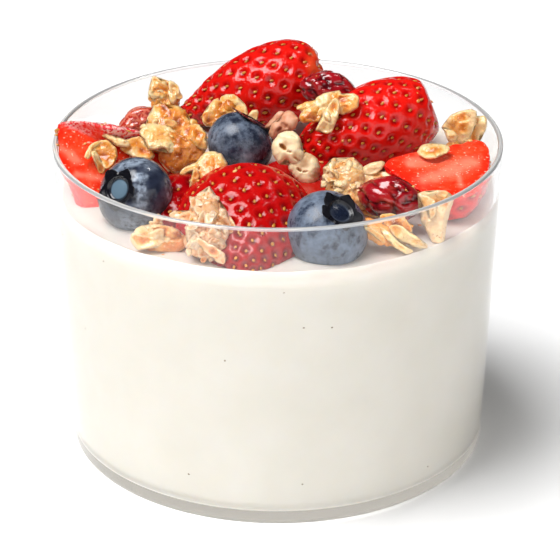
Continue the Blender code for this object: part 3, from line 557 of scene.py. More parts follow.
def ball(detail):
    """Points and faces of a unit ball made of even triangles."""
    shape = bmesh.new()
    bmesh.ops.create_icosphere(shape, subdivisions=detail, radius=1.0)
    points = np.array([vertex.co for vertex in shape.verts])
    faces = np.array([[vertex.index for vertex in face.verts] for face in shape.faces])
    shape.free()
    return points, faces


def normals_of(points, faces):
    """Unit normals at the points of a triangle mesh."""
    a, b, c = (points[faces[:, i]] for i in range(3))
    face_normals = np.cross(b - a, c - a)
    normals = np.zeros_like(points)
    for i in range(3):
        np.add.at(normals, faces[:, i], face_normals)
    return normals / np.maximum(np.linalg.norm(normals, axis=1, keepdims=True), 1e-12)


def hollows_of(points, faces):
    """How far each point lies below the middle of its neighbours, along its normal."""
    total = np.zeros_like(points)
    count = np.zeros(len(points))
    for i, j in ((0, 1), (1, 2), (2, 0)):
        for one, other in ((faces[:, i], faces[:, j]), (faces[:, j], faces[:, i])):
            np.add.at(total, one, points[other])
            np.add.at(count, one, 1)
    middle = total / np.maximum(count, 1)[:, None]
    return np.einsum("ij,ij->i", middle - points, normals_of(points, faces))


def raised(points, faces, height):
    """Points moved along their normals, each by its own height."""
    return points + normals_of(points, faces) * height[:, None]


def nearest_in(points, places):
    """The nearest of some places to each point: its index, and how far it is."""
    tree = KDTree(len(places))
    for index, place in enumerate(places):
        tree.insert(place, index)
    tree.balance()
    found = [tree.find(point) for point in points]
    return [hit[1] for hit in found], np.array([hit[2] for hit in found])


def mesh_of(name, points, faces):
    """A smooth mesh from points in millimetres."""
    mesh = bpy.data.meshes.new(name)
    mesh.from_pydata((np.asarray(points) * MM).tolist(), [], [list(face) for face in faces])
    mesh.validate()
    mesh.shade_smooth()
    return mesh


def add_piece(name, points, faces, material, slot, *nodes, **painted):
    """A visible piece that rides with the parfait and stands for CAD nodes.

    painted holds numbers, one for each point under each name, that the material reads.
    """
    mesh = mesh_of(name, points, faces)
    for key, values in painted.items():
        layer = mesh.attributes.new(key, "FLOAT", "POINT")
        layer.data.foreach_set("value", np.asarray(values, dtype=np.float32))
    piece = bpy.data.objects.new(name, mesh)
    bpy.context.scene.collection.objects.link(piece)
    mesh.materials.append(material)
    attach(piece, "root")
    if nodes:
        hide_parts(*nodes)
    return mesh


def remeshed(points, faces, voxel):
    """Overlapping bodies joined into one, with even faces about one voxel wide."""
    source = mesh_of("remesh_source", points, faces)
    worker = bpy.data.objects.new("remesh_worker", source)
    bpy.context.scene.collection.objects.link(worker)
    join = worker.modifiers.new("Join", "REMESH")
    join.mode = "VOXEL"
    join.voxel_size = voxel * MM
    bpy.context.view_layer.update()
    graph = bpy.context.evaluated_depsgraph_get()
    result = bpy.data.meshes.new_from_object(worker.evaluated_get(graph), depsgraph=graph)
    bpy.data.objects.remove(worker)
    shape = bmesh.new()
    shape.from_mesh(result)
    bmesh.ops.triangulate(shape, faces=shape.faces[:])
    joined_points = np.array([vertex.co for vertex in shape.verts]) / MM
    joined_faces = np.array([[vertex.index for vertex in face.verts] for face in shape.faces])
    shape.free()
    return joined_points, joined_faces


def ring_faces(rings, steps):
    """Faces of a body of rings between two poles, whose points are its first and its last."""
    last = 1 + rings * steps
    faces = []
    for k in range(steps):
        after = (k + 1) % steps
        faces.append((0, 1 + k, 1 + after))
        for ring in range(rings - 1):
            start, end = 1 + ring * steps, 1 + (ring + 1) * steps
            faces.append((start + k, end + k, end + after, start + after))
        faces.append((last, last - steps + after, last - steps + k))
    return faces


def disc_faces(pole, rings, steps):
    """Triangles of a disc, from the index of its middle point and of each ring's first point."""
    faces = []
    for k in range(steps):
        after = (k + 1) % steps
        faces.append((pole, rings[0] + k, rings[0] + after))
        for a, b in zip(rings, rings[1:]):
            faces += [(a + k, b + k, b + after), (a + k, b + after, a + after)]
    return np.array(faces)


def split(faces):
    """Faces as triangles, with those of four corners cut across from their first corner."""
    return [face[:3] for face in faces] + [(face[0], *face[2:]) for face in faces if len(face) == 4]


def turned(profile):
    """Points and faces turned about Z from (radius, height) places that run from axis to axis."""
    angles = np.linspace(0, 2 * math.pi, TURN_STEPS, endpoint=False)
    points = [(0, 0, profile[0][1])]
    for radius, height in profile[1:-1]:
        points += [(radius * math.cos(angle), radius * math.sin(angle), height) for angle in angles]
    points.append((0, 0, profile[-1][1]))
    return np.array(points), ring_faces(len(profile) - 2, TURN_STEPS)


def smooth_loop(corners, step):
    """A closed smooth line through corners, with points about step apart."""
    corners = np.array(corners, dtype=float)
    points = []
    for i, start in enumerate(corners):
        before, end = corners[i - 1], corners[(i + 1) % len(corners)]
        later = corners[(i + 2) % len(corners)]
        count = max(2, int(np.linalg.norm(end - start) / step))
        for k in range(count):
            t = k / count
            points.append(0.5 * (2 * start + (end - before) * t
                                 + (2 * before - 5 * start + 4 * end - later) * t * t
                                 + (3 * start - before - 3 * end + later) * t ** 3))
    return np.array(points)


def seen_to_world(points, anchor):
    """Points drawn as (right, up, depth) about an anchor, as points of the frame."""
    return np.array(anchor) + points @ SEEN_AXES


def world_to_seen(points, anchor):
    """Points of the frame as (right, up, depth) about an anchor."""
    return (points - np.array(anchor)) @ SEEN_AXES.T


def along_line(flat, start, end):
    """How far along a line each flat point lies, from 0 to 1, and how far off it."""
    start, end = np.array(start), np.array(end)
    share = np.clip((flat - start) @ (end - start) / np.sum((end - start) ** 2), 0, 1)
    return share, np.linalg.norm(flat - start - share[:, None] * (end - start), axis=1)


def arc(centre, radius, start, end, steps):
    """Points on an arc in the profile plane, angles in degrees."""
    angles = [math.radians(start + (end - start) * i / steps) for i in range(steps + 1)]
    return [(centre[0] + radius * math.cos(a), centre[1] + radius * math.sin(a)) for a in angles]


# ---------------------------------------------------------------- materials

class Shade:
    """A Principled material under construction.

    Sockets of the shader are set by name, where an underscore stands for a space.
    """

    def __init__(self, name, **values):
        self.material = bpy.data.materials.new(name)
        self.material.use_nodes = True
        self.tree = self.material.node_tree
        self.shader = self.tree.nodes["Principled BSDF"]
        for socket, value in values.items():
            self.shader.inputs[socket.replace("_", " ")].default_value = value
        self.place = self.node("ShaderNodeTexCoord").outputs["Object"]

    def node(self, kind, **settings):
        """A new node of a kind, with its settings."""
        made = self.tree.nodes.new(kind)
        for name, value in settings.items():
            setattr(made, name, value)
        return made

    def link(self, source, target):
        """Join a node's output to another's input."""
        self.tree.links.new(source, target)

    def noise(self, size, detail=2.0, roughness=0.5, stretch=None):
        """Noise from 0 to 1 whose patches are about size millimetres wide."""
        made = self.node("ShaderNodeTexNoise")
        made.inputs["Scale"].default_value = 1 / (size * MM)
        made.inputs["Detail"].default_value = detail
        made.inputs["Roughness"].default_value = roughness
        place = self.place
        if stretch:
            mapping = self.node("ShaderNodeMapping")
            mapping.inputs["Scale"].default_value = stretch
            self.link(place, mapping.inputs["Vector"])
            place = mapping.outputs["Vector"]
        self.link(place, made.inputs["Vector"])
        return made.outputs["Fac"]

    def painted(self, name):
        """A number that add_piece() stored on the mesh."""
        return self.node("ShaderNodeAttribute", attribute_name=name).outputs["Fac"]

    def ramp(self, source, *stops):
        """Colours at places along a value from 0 to 1."""
        made = self.node("ShaderNodeValToRGB")
        elements = made.color_ramp.elements
        while len(elements) < len(stops):
            elements.new(0.5)
        for element, (place, colour) in zip(elements, stops):
            element.position = place
            element.color = (*colour, 1.0)
        self.link(source, made.inputs["Fac"])
        return made.outputs["Color"]

    def spread(self, source, low, high, to_low=0.0, to_high=1.0):
        """A value mapped from one range onto another and kept within it."""
        made = self.node("ShaderNodeMapRange")
        for name, value in zip(("From Min", "From Max", "To Min", "To Max"), (low, high, to_low, to_high)):
            made.inputs[name].default_value = value
        self.link(source, made.inputs["Value"])
        return made.outputs["Result"]

    def mix(self, share, first, second):
        """A mix of two colours; each is a socket or a colour."""
        made = self.node("ShaderNodeMix", data_type="RGBA")
        self.feed(made.inputs[0], share)
        self.feed(made.inputs[6], first)
        self.feed(made.inputs[7], second)
        return made.outputs[2]

    def patched(self, base, other, size, detail, low, high, most=1.0):
        """A colour with patches of another where noise rises from low to high."""
        return self.mix(self.spread(self.noise(size, detail), low, high, 0.0, most), base, other)

    def sum(self, first, second, operation="ADD"):
        """Two numbers added, or worked into one in another way; each is a socket or a number."""
        made = self.node("ShaderNodeMath", operation=operation)
        self.feed(made.inputs[0], first)
        self.feed(made.inputs[1], second)
        return made.outputs[0]

    def product(self, first, second):
        """Two numbers multiplied; each is a socket or a number."""
        return self.sum(first, second, "MULTIPLY")

    def feed(self, socket, value):
        """Link or set a socket."""
        if isinstance(value, bpy.types.NodeSocket):
            self.link(value, socket)
        elif isinstance(value, tuple):
            socket.default_value = (*value, 1.0)
        else:
            socket.default_value = value

    def colour(self, source):
        """Give the shader its base colour."""
        self.link(source, self.shader.inputs["Base Color"])

    def roughness(self, source):
        """Give the shader its roughness."""
        self.link(source, self.shader.inputs["Roughness"])

    def bump(self, source, depth):
        """Fine relief, depth millimetres from a value's 0 to its 1."""
        made = self.node("ShaderNodeBump")
        made.inputs["Distance"].default_value = depth * MM
        self.link(source, made.inputs["Height"])
        self.link(made.outputs["Normal"], self.shader.inputs["Normal"])


def glass_material(name, clearness):
    """Clear polished glass that lets light through to what is in it."""
    shade = Shade(name, Base_Color=(0.955, 0.96, 0.96, 1), Roughness=0.0, IOR=1.5,
                  Transmission_Weight=clearness)
    see_through = shade.node("ShaderNodeBsdfTransparent")
    path = shade.node("ShaderNodeLightPath")
    blend = shade.node("ShaderNodeMixShader")
    output = shade.tree.nodes["Material Output"]
    shade.link(path.outputs["Is Shadow Ray"], blend.inputs[0])
    shade.link(shade.shader.outputs[0], blend.inputs[1])
    shade.link(see_through.outputs[0], blend.inputs[2])
    shade.link(blend.outputs[0], output.inputs["Surface"])
    return shade.material


def yogurt_material():
    """Smooth moist yogurt, off-white, with light that soaks in, its top painted darker with pinker patches as
    shade and reddish light from the fruit, and a painted glow on its underside.
    """
    shade = Shade("yogurt", Roughness=0.32, Subsurface_Weight=0.35,
                  Subsurface_Radius=(1.0, 0.8, 0.55), Subsurface_Scale=0.004, IOR=1.4,
                  Emission_Color=(1.0, 0.96, 0.9, 1))
    white = shade.ramp(shade.noise(9.0), (0.3, (0.74, 0.71, 0.64)), (0.7, (0.77, 0.74, 0.68)))
    # The top is painted darker, with pinker patches: painted shade and painted reddish light from the fruit.
    shaded_top = shade.patched((0.62, 0.58, 0.52), (0.60, 0.52, 0.48), 7.0, 2.0, 0.4, 0.7)
    shade.colour(shade.mix(shade.painted("top"), white, shaded_top))
    shade.bump(shade.noise(2.2, 3.0), 0.05)
    # A painted glow on the underside, for the light that the thick clear base carries in under the yogurt.
    under = shade.product(shade.painted("under"), UNDER_GLOW)
    shade.link(under, shade.shader.inputs["Emission Strength"])
    return shade.material


def strawberry_material():
    """Seeded skin, painted darker in its pits as shade and deeper red where it is riper or painted shaded,
    and paler, wetter flesh where it is cut, with small pale specks painted as glints.
    """
    shade = Shade("strawberry", Roughness=0.12, Subsurface_Weight=0.15,
                  Subsurface_Radius=(1.0, 0.2, 0.1), Subsurface_Scale=0.001,
                  IOR=1.45, Specular_IOR_Level=0.45)
    pit = shade.painted("pit")
    # The skin is painted darker in its pits: painted shade in the dimples round the seeds.
    skin = shade.ramp(pit, (0.0, (0.78, 0.010, 0.006)), (0.5, (0.60, 0.002, 0.003)),
                      (1.0, (0.32, 0.001, 0.001)))
    patchy = shade.patched(skin, (0.80, 0.012, 0.006), 6.0, 2.0, 0.35, 0.7, 0.8)
    patchy = shade.mix(shade.spread(pit, 0.2, 0.8, 0.0, 0.7), patchy, skin)
    crowned = shade.mix(shade.painted("crown"), patchy, (0.86, 0.16, 0.04))
    streaks = shade.noise(1.6, 3.0, 0.6, stretch=(1.0, 1.0, 0.4))
    flesh = shade.ramp(shade.painted("depth"),
                       (0.0, (0.60, 0.002, 0.003)), (0.15, (0.86, 0.012, 0.006)),
                       (0.6, (0.92, 0.030, 0.008)), (1.0, (0.94, 0.080, 0.022)))
    flesh = shade.mix(shade.spread(streaks, 0.5, 0.75, 0.0, 0.4), flesh, (0.95, 0.24, 0.12))
    flesh = shade.patched(flesh, (0.86, 0.012, 0.004), 2.4, 3.0, 0.5, 0.75, 0.6)
    flesh = shade.mix(shade.product(shade.painted("pale"), 0.6), flesh, (0.97, 0.34, 0.22))
    # Small pale specks on the cut flesh are painted glints of its wet surface.
    flesh = shade.patched(flesh, (1.0, 0.62, 0.45), 0.5, 1.0, 0.68, 0.72, 0.8)
    coloured = shade.mix(shade.painted("cut"), crowned, flesh)
    # Riper pieces, and pieces painted darker for the shade they lie in, turn to a deeper red that is darker
    # still in the pits.
    deep = shade.ramp(pit, (0.0, (0.35, 0.001, 0.003)), (1.0, (0.13, 0.0005, 0.001)))
    coloured = shade.mix(shade.painted("ripe"), coloured, deep)
    frosty = shade.patched((0.76, 0.045, 0.06), (0.95, 0.62, 0.58), 0.55, 1.0, 0.42, 0.56)
    shade.colour(shade.mix(shade.painted("frost"), coloured, frosty))
    shade.roughness(shade.spread(shade.noise(1.2, 3.0), 0.3, 0.7, 0.06, 0.18))
    shade.bump(shade.sum(shade.noise(0.5, 3.0), shade.noise(1.3, 2.0)), 0.07)
    return shade.material


def seed_material():
    """Golden seeds with a browner side."""
    shade = Shade("strawberry_seed", Roughness=0.3)
    shade.colour(shade.ramp(shade.noise(0.9), (0.3, (0.42, 0.13, 0.012)), (0.7, (0.72, 0.34, 0.05))))
    shade.bump(shade.noise(0.3), 0.02)
    return shade.material


def blueberry_material(name, bloom, disc):
    """Dark blue skin under a pale waxy bloom that is rubbed off in places, with pale bands painted as
    highlights and reflections, and painted shade in its crown's cup.
    """
    shade = Shade(name, Roughness=0.3, IOR=1.45)
    wax = shade.noise(2.4, 6.0, 0.68)
    wax = shade.sum(wax, shade.product(shade.noise(0.8, 3.0), 0.25))
    share = shade.spread(wax, 0.85 - 0.5 * bloom, 1.05 - 0.35 * bloom)
    share = shade.product(share, 0.3 + 0.7 * bloom)
    bare = shade.ramp(shade.noise(2.0), (0.3, (0.010, 0.013, 0.026)), (0.7, (0.026, 0.034, 0.062)))
    skin = shade.mix(share, bare, (0.20, 0.255, 0.345))
    # Pale bands painted as highlights and reflections
    streaky_highlight = shade.product(shade.painted("bands"), shade.spread(shade.noise(0.9, 4.0), 0.3, 0.6))
    skin = shade.mix(streaky_highlight, skin, (0.30, 0.36, 0.45))
    skin = shade.mix(shade.painted("disc"), skin, disc)
    # The crown's sepals and its cup's inner wall are nearly black: the sepals' own dark colour, and painted
    # shade in the cup.
    shade.colour(shade.mix(shade.painted("pit"), skin, (0.006, 0.006, 0.009)))
    shade.roughness(shade.spread(share, 0.0, 1.0, 0.14, 0.62))
    shade.bump(shade.noise(0.35, 3.0), 0.02)
    return shade.material


def dried_berry_material(name, paleness):
    """Dark red wrinkled skin with a sticky gloss, painted darker in its folds as shade, and paler where it is
    frosted.
    """
    shade = Shade(name, Roughness=0.14, IOR=1.45, Coat_Weight=0.6, Coat_Roughness=0.06,
                  Subsurface_Weight=0.15, Subsurface_Radius=(1.0, 0.2, 0.15), Subsurface_Scale=0.0012)
    # The folds are painted darker, near black at their deepest: painted shade.
    skin = shade.ramp(shade.painted("pit"), (0.0, (0.36, 0.008, 0.014)), (0.5, (0.17, 0.002, 0.005)),
                      (1.0, (0.05, 0.001, 0.003)))
    skin = shade.patched(skin, (0.5, 0.05, 0.03), 2.4, 2.0, 0.55, 0.75, 0.6)
    frosted = shade.patched((0.50, 0.035, 0.02), (0.80, 0.22, 0.13), 0.6, 1.0, 0.46, 0.58)
    shade.colour(shade.mix(paleness, skin, frosted))
    shade.bump(shade.noise(0.5, 3.0), 0.06)
    return shade.material


def granola_material():
    """Baked flakes: amber where they are thick, painted darker in their folds and hollows as shade, glazed,
    paler along their rims.
    """
    shade = Shade("granola", Roughness=0.34, IOR=1.45, Subsurface_Weight=0.25,
                  Subsurface_Radius=(1.0, 0.5, 0.2), Subsurface_Scale=0.0015,
                  Coat_Weight=0.45, Coat_Roughness=0.12)
    tone = shade.sum(shade.painted("tone"), shade.product(shade.painted("rim"), -0.5))
    # Creases and hollows are painted darker, towards brown: painted shade.
    tone = shade.sum(tone, shade.product(shade.painted("hollow"), 0.55))
    patches = shade.spread(shade.noise(1.6, 4.0, 0.6), 0.3, 0.7, -0.12, 0.12)
    body = shade.ramp(shade.sum(tone, patches), (0.0, (0.88, 0.62, 0.31)), (0.22, (0.86, 0.45, 0.13)),
                      (0.45, (0.78, 0.27, 0.035)), (0.7, (0.50, 0.11, 0.010)), (1.0, (0.18, 0.03, 0.003)))
    pinkish = shade.ramp(shade.sum(tone, patches), (0.0, (0.90, 0.60, 0.38)), (0.25, (0.85, 0.43, 0.21)),
                         (0.55, (0.70, 0.24, 0.08)), (1.0, (0.36, 0.08, 0.02)))
    body = shade.mix(shade.painted("pink"), body, pinkish)
    body = shade.patched(body, (0.40, 0.13, 0.02), 0.45, 2.0, 0.62, 0.70, 0.55)
    shade.colour(shade.patched(body, (0.93, 0.80, 0.60), 0.3, 1.0, 0.64, 0.72, 0.5))
    shade.roughness(shade.spread(shade.noise(2.0, 2.0), 0.35, 0.65, 0.2, 0.5))
    shade.bump(shade.sum(shade.noise(0.35, 4.0, 0.7), shade.noise(1.0, 2.0)), 0.04)
    return shade.material


def nut_material(name, dark, mid, light):
    """A dry nut, painted browner in its grooves as shade."""
    shade = Shade(name, Roughness=0.5, Subsurface_Weight=0.2,
                  Subsurface_Radius=(1.0, 0.6, 0.3), Subsurface_Scale=0.001)
    body = shade.ramp(shade.noise(1.8, 3.0), (0.3, mid), (0.7, light))
    # The grooves are painted browner: painted shade.
    shade.colour(shade.mix(shade.spread(shade.painted("hollow"), 0.15, 0.8), body, dark))
    shade.bump(shade.noise(0.5, 3.0), 0.05)
    return shade.material


# ---------------------------------------------------------------- glass and yogurt

def outer_radius(height):
    """Radius of the tumbler's outer side."""
    return BASE_RADIUS + (RIM_RADIUS - BASE_RADIUS) * height / GLASS_HEIGHT


def inner_radius(height):
    """Radius of the tumbler's inner side."""
    return outer_radius(height) - WALL


def side_points(radius_at, start, end):
    """Points down or up a straight side, with one close to each end to keep the shading flat there."""
    step = math.copysign(SUPPORT, end - start)
    heights = (start + step, start + 4 * step, (start + end) / 2, end - 4 * step, end - step)
    return [(radius_at(height), height) for height in heights]


def make_glass():
    """The tumbler, with a fire-polished rim and a thick clear base."""
    lip = WALL / 2
    lip_centre = (outer_radius(GLASS_HEIGHT) - lip, GLASS_HEIGHT - lip)
    corner = (inner_radius(FLOOR + INNER_CORNER) - INNER_CORNER, FLOOR + INNER_CORNER)
    heel = (outer_radius(HEEL) - HEEL, HEEL)
    profile = [(0, FLOOR), (FLAT_FLOOR, FLOOR), (corner[0] - SUPPORT, FLOOR)]
    profile += arc(corner, INNER_CORNER, -90, 0, 10)
    profile += side_points(inner_radius, corner[1], lip_centre[1])
    profile += arc(lip_centre, lip, 180, 0, 14)
    profile += side_points(outer_radius, lip_centre[1], HEEL)
    profile += arc(heel, HEEL, 0, -90, 10)
    ring = heel[0] - FOOT_RING
    profile += [(heel[0] - SUPPORT, 0), (ring, PUNT), (ring - SUPPORT, PUNT), (0, PUNT)]
    mesh = add_piece("glass_tumbler", *turned(profile), glass_material("clear_glass", 1.0), "glass", "glass")
    # The lip faces get a partly opaque white glass: a painted sheen that keeps the rim a pale line.
    mesh.materials.append(glass_material("lip_with_painted_sheen", LIP_CLEARNESS))
    for face in mesh.polygons:
        face.material_index = int(face.center.z > lip_centre[1] * MM)


def level_at(points):
    """Height of the yogurt's top at (x, y), with its wave and its climb up the wall."""
    x, y = points[:, 0], points[:, 1]
    flat = np.column_stack([x, y, np.zeros(len(x))])
    from_wall = inner_radius(YOGURT_LEVEL) - np.hypot(x, y)
    climb = CLIMB_HEIGHT * np.exp(-np.maximum(from_wall, 0) / CLIMB_REACH)
    wave = YOGURT_WAVE * np.sin(x / 7 + 1) * np.cos(y / 8)
    return YOGURT_LEVEL + wave + YOGURT_UNEVENNESS * bumps(flat, 6.0, 5) + climb


def make_yogurt():
    """The yogurt: an uneven top that climbs the wall, and sides that reach into the glass."""
    edge = inner_radius(YOGURT_LEVEL) + INTO_WALL
    # The rings of the top lie closer together where it climbs
    radii = np.concatenate([np.linspace(0.4, edge - 2.4, 70), edge - np.linspace(2.2, 0, 14)])
    corner_height = FLOOR + INNER_CORNER
    corner = (inner_radius(corner_height) - INNER_CORNER, corner_height)
    profile = [(0, 0)] + [(radius, 0) for radius in radii]
    profile += [(inner_radius(height) + INTO_WALL, height) for height in np.linspace(48, 8, 9)]
    profile += arc(corner, INNER_CORNER + INTO_WALL, 0, -90, 8)
    profile.append((0, FLOOR - INTO_WALL))
    points, faces = turned(profile)
    top = 1 + len(radii) * TURN_STEPS
    points[:top, 2] = level_at(points[:top])
    # under marks the underside for its painted glow, and top marks the top for its painted shade
    add_piece("yogurt_fill", points, faces, yogurt_material(), "yogurt", "yogurt",
              under=1 - step_up(points[:, 2], FLOOR + 0.2, FLOOR + 0.9),
              top=step_up(points[:, 2], YOGURT_LEVEL - 1.6, YOGURT_LEVEL - 0.5))


# ---------------------------------------------------------------- fruit

def kept_inside(points):
    """Points pressed back so that they stay inside the tumbler's wall."""
    reach = np.hypot(points[:, 0], points[:, 1])
    room = inner_radius(points[:, 2]) - TOPPING_GAP
    pressed = points.copy()
    pressed[:, :2] *= np.minimum(1.0, room / np.maximum(reach, 1e-6))[:, None]
    return pressed


def berry_skin(unit, size, taper):
    """Points of the unit ball moved onto a strawberry, tip towards local -Z."""
    length, width, depth = size
    heights = np.linspace(0, 1, 21)[:-1]
    widest = np.max(np.sqrt(1 - heights ** 2) * (1 + taper * heights))
    along = unit[:, 2]
    girth = (1 + taper * along) / widest
    spread = np.hypot(unit[:, 0], unit[:, 1]) * girth
    hollow = np.where(along > 0, np.maximum(0, 1 - (spread / HULL_REACH) ** 2) * HULL_HOLLOW, 0)
    return np.column_stack([unit[:, 0] * girth * width / 2, unit[:, 1] * girth * depth / 2,
                            (along - hollow) * length / 2])


def press_flat(points, way, distance):
    """Points beyond a plane brought back onto it, with a softly rounded edge, and how far each went."""
    over = points @ way - distance
    kept = -CUT_EDGE * np.logaddexp(0, -over / CUT_EDGE)
    return points + np.outer(kept - over, way), over


def ledge_start(name, points):
    """How far across a cut face its ledge of skin starts; it starts farther out near the crown."""
    return SKIN_LEDGE[name][0] + 1.9 * step_up(points[:, 2], 2.0, 9.0)


def cut_planes(name, points, cut, rotation):
    """The flat cuts of a berry: the way that each looks, and its distance from the berry's middle."""
    planes = []
    if name in SKIN_LEDGE:
        start, rise = ledge_start(name, points), SKIN_LEDGE[name][1]
        cut = cut + rise * step_up(-points[:, 0], start, start + 1.2)
    if cut is not None:
        planes.append((np.array([0.0, 1.0, 0.0]), cut))
    if name in CROWN_CUTS:
        way, distance = CROWN_CUTS[name]
        planes.append((np.array(rotation).T @ unit_way(way), distance))
    return planes


def frost_on(name, points):
    """Where fine pale hairs and sugar make the skin look frosty."""
    if name not in SKIN_LEDGE:
        return np.zeros(len(points))
    start = ledge_start(name, points)
    return step_up(-points[:, 0] + 0.9 * bumps(points, 1.6, 60), start - 0.9, start + 0.4) * 0.75


def pale_streaks(name, world):
    """How pale the flesh is at each point, from the streaks drawn on its cut face."""
    pale = np.zeros(len(world))
    if name not in SLICE_STREAKS:
        return pale
    seen = world_to_seen(world, SLICE_OUTLINES[name][0])[:, :2]
    for start, end, half_width in SLICE_STREAKS[name]:
        off = along_line(seen, start, end)[1] + 0.5 * half_width * rough(world, 1.5, 2, 70)
        pale = np.maximum(pale, np.exp(-np.maximum(off, 0) ** 2 / half_width ** 2))
    return pale


def redrawn(points, drawing, centre, rotation, cut):
    """A cut berry pulled sideways so that its cut face has the drawn outline."""
    anchor, corners = drawing
    drawn = smooth_loop(corners, 0.12)
    world = seen_to_world(np.column_stack([drawn, np.zeros(len(drawn))]), anchor)
    turn = np.array(rotation)
    local = (world - np.array(centre)) @ turn
    sight = SEEN_AXES[2] @ turn
    local = local + np.outer((cut - local[:, 1]) / sight[1], sight)
    middle = np.array([local[:, 0].mean(), local[:, 2].mean()])
    bins = np.linspace(-math.pi, math.pi, 181)
    wanted = polar_reach(local[:, [0, 2]] - middle, bins)
    flat = points[:, [0, 2]] - points[:, [0, 2]].mean(axis=0)
    present = polar_reach(flat, bins)
    angles = np.arctan2(flat[:, 1], flat[:, 0])
    share = np.interp(angles, bins, wanted / present)
    moved = points.copy()
    moved[:, [0, 2]] = flat * share[:, None] + middle
    return moved


def polar_reach(flat, bins):
    """How far flat points reach from the origin in each direction, smoothed a little."""
    angles = np.arctan2(flat[:, 1], flat[:, 0])
    reach = np.linalg.norm(flat, axis=1)
    width = bins[1] - bins[0]
    found = np.array([np.max(reach[np.abs(np.angle(np.exp(1j * (angles - way)))) < 1.6 * width])
                      for way in bins])
    ring = found[:-1]
    soft = (np.roll(ring, 1) + 2 * ring + np.roll(ring, -1)) / 4
    return np.append(soft, soft[0])


def spiral_seeds(size):
    """Places for seeds on the unit ball, evenly spaced over the berry in a spiral."""
    length, width, depth = size
    girth = (width + depth) / 2
    area = math.pi * girth * length * 0.86
    count = int(area / (SEED_SPACING ** 2 * 0.87))
    heights = 1 - 2 * (np.arange(count) + 0.5) / count
    golden_turn = math.pi * (3 - math.sqrt(5))
    angles = np.arange(count) * golden_turn
    reach = np.sqrt(1 - heights ** 2)
    return np.column_stack([reach * np.cos(angles), reach * np.sin(angles), heights])


def pits_of(points, size, taper):
    """How deep in a seed's pit each point of a berry lies, and the points that the seeds are nearest to."""
    places = berry_skin(spiral_seeds(size), size, taper)
    places = places + SEED_WANDER * np.column_stack([bumps(places, 1.3, 20 + axis) for axis in range(3)])
    far = nearest_in(points, places)[1]
    return 1 - step_up(far, *PIT_RADII), nearest_in(places, points)[0]


def make_strawberries():
    """All strawberry pieces, and their seeds as one piece."""
    material = strawberry_material()
    seeds = []
    for rank, (name, (centre, tip_way, cut_way, size, cut, taper)) in enumerate(STRAWBERRIES.items()):
        unit, faces = ball(6 if size[0] > LARGE_BERRY else 5)
        rotation = frame_of(-Vector(tip_way), cut_way)
        points = berry_skin(unit, size, taper)
        points = raised(points, faces, SKIN_WAVE * rough(points + 40 * rank, 7.0, 2, 3))
        pit, seeded = pits_of(points, size, taper)
        planes = cut_planes(name, points, cut, rotation)
        skin = np.ones(len(points))
        for way, distance in planes:
            skin *= 1 - step_up(points @ way - distance, -0.5, 0.0)
        points = raised(points, faces, -PIT_DEPTH * pit * skin + PIT_SHOULDER * skin)
        cut_depth = np.zeros(len(points))
        for way, distance in planes:
            points, over = press_flat(points, way, distance)
            cut_depth = np.maximum(cut_depth, np.clip(over / (FLESH_DEPTH * size[1]), 0, 1))
        if name in SLICE_UNDERSIDE:
            share = np.interp(points[:, 2], UNDERSIDE_SPAN, SLICE_UNDERSIDE[name])
            under = points[:, 1] < cut
            points[under, 1] = cut + (points[under, 1] - cut) * share[under]
        if name in SLICE_OUTLINES:
            points = redrawn(points, SLICE_OUTLINES[name], centre, rotation, cut)
        world = kept_inside(placed(points, centre, rotation))
        # How red each end is: partly ripeness, partly painted shade
        crown_red, tip_red = RIPENESS_AND_SHADE.get(name, (0.0, 0.0))
        # pit also drives the painted shade in the pits
        add_piece(name + "_skin", world, faces, material, "strawberry", name,
                  pit=pit * skin, cut=1 - skin, depth=np.sqrt(cut_depth),
                  crown=step_up(unit[:, 2] + 0.12 * bumps(points, 3.0, 9), 0.80, 0.99) * 0.7,
                  frost=frost_on(name, points), pale=pale_streaks(name, world),
                  ripe=crown_red + (tip_red - crown_red) * (1 - unit[:, 2]) / 2)
        normals = normals_of(world, faces)
        berry_way = -unit_way(tip_way)
        seeds += [(world[point], normals[point], berry_way) for point in seeded if skin[point] > 0.95]
    make_seeds(seeds)


def make_seeds(seeds):
    """Teardrop seeds that sit in the strawberries' pits."""
    unit, unit_faces = ball(2)
    half_width, half_height, half_length = SEED_SIZE
    narrow = 1 - 0.35 * unit[:, 2]
    drop = np.column_stack([unit[:, 0] * half_width * narrow, unit[:, 1] * half_height,
                            unit[:, 2] * half_length])
    bodies = []
    for index, (place, normal, berry_way) in enumerate(seeds):
        wander = np.array([math.sin(index * 2.4), math.cos(index * 1.7), math.sin(index * 3.1)]) * 0.25
        rotation = frame_of(berry_way + wander, normal)
        seed = drop * (0.85 + 0.3 * ((index * GOLDEN_SHARE) % 1))
        bodies.append((placed(seed, place + normal * SEED_HEIGHT, rotation), unit_faces, ()))
    add_piece("strawberry_seeds", *stacked(bodies)[:2], seed_material(), "strawberry")


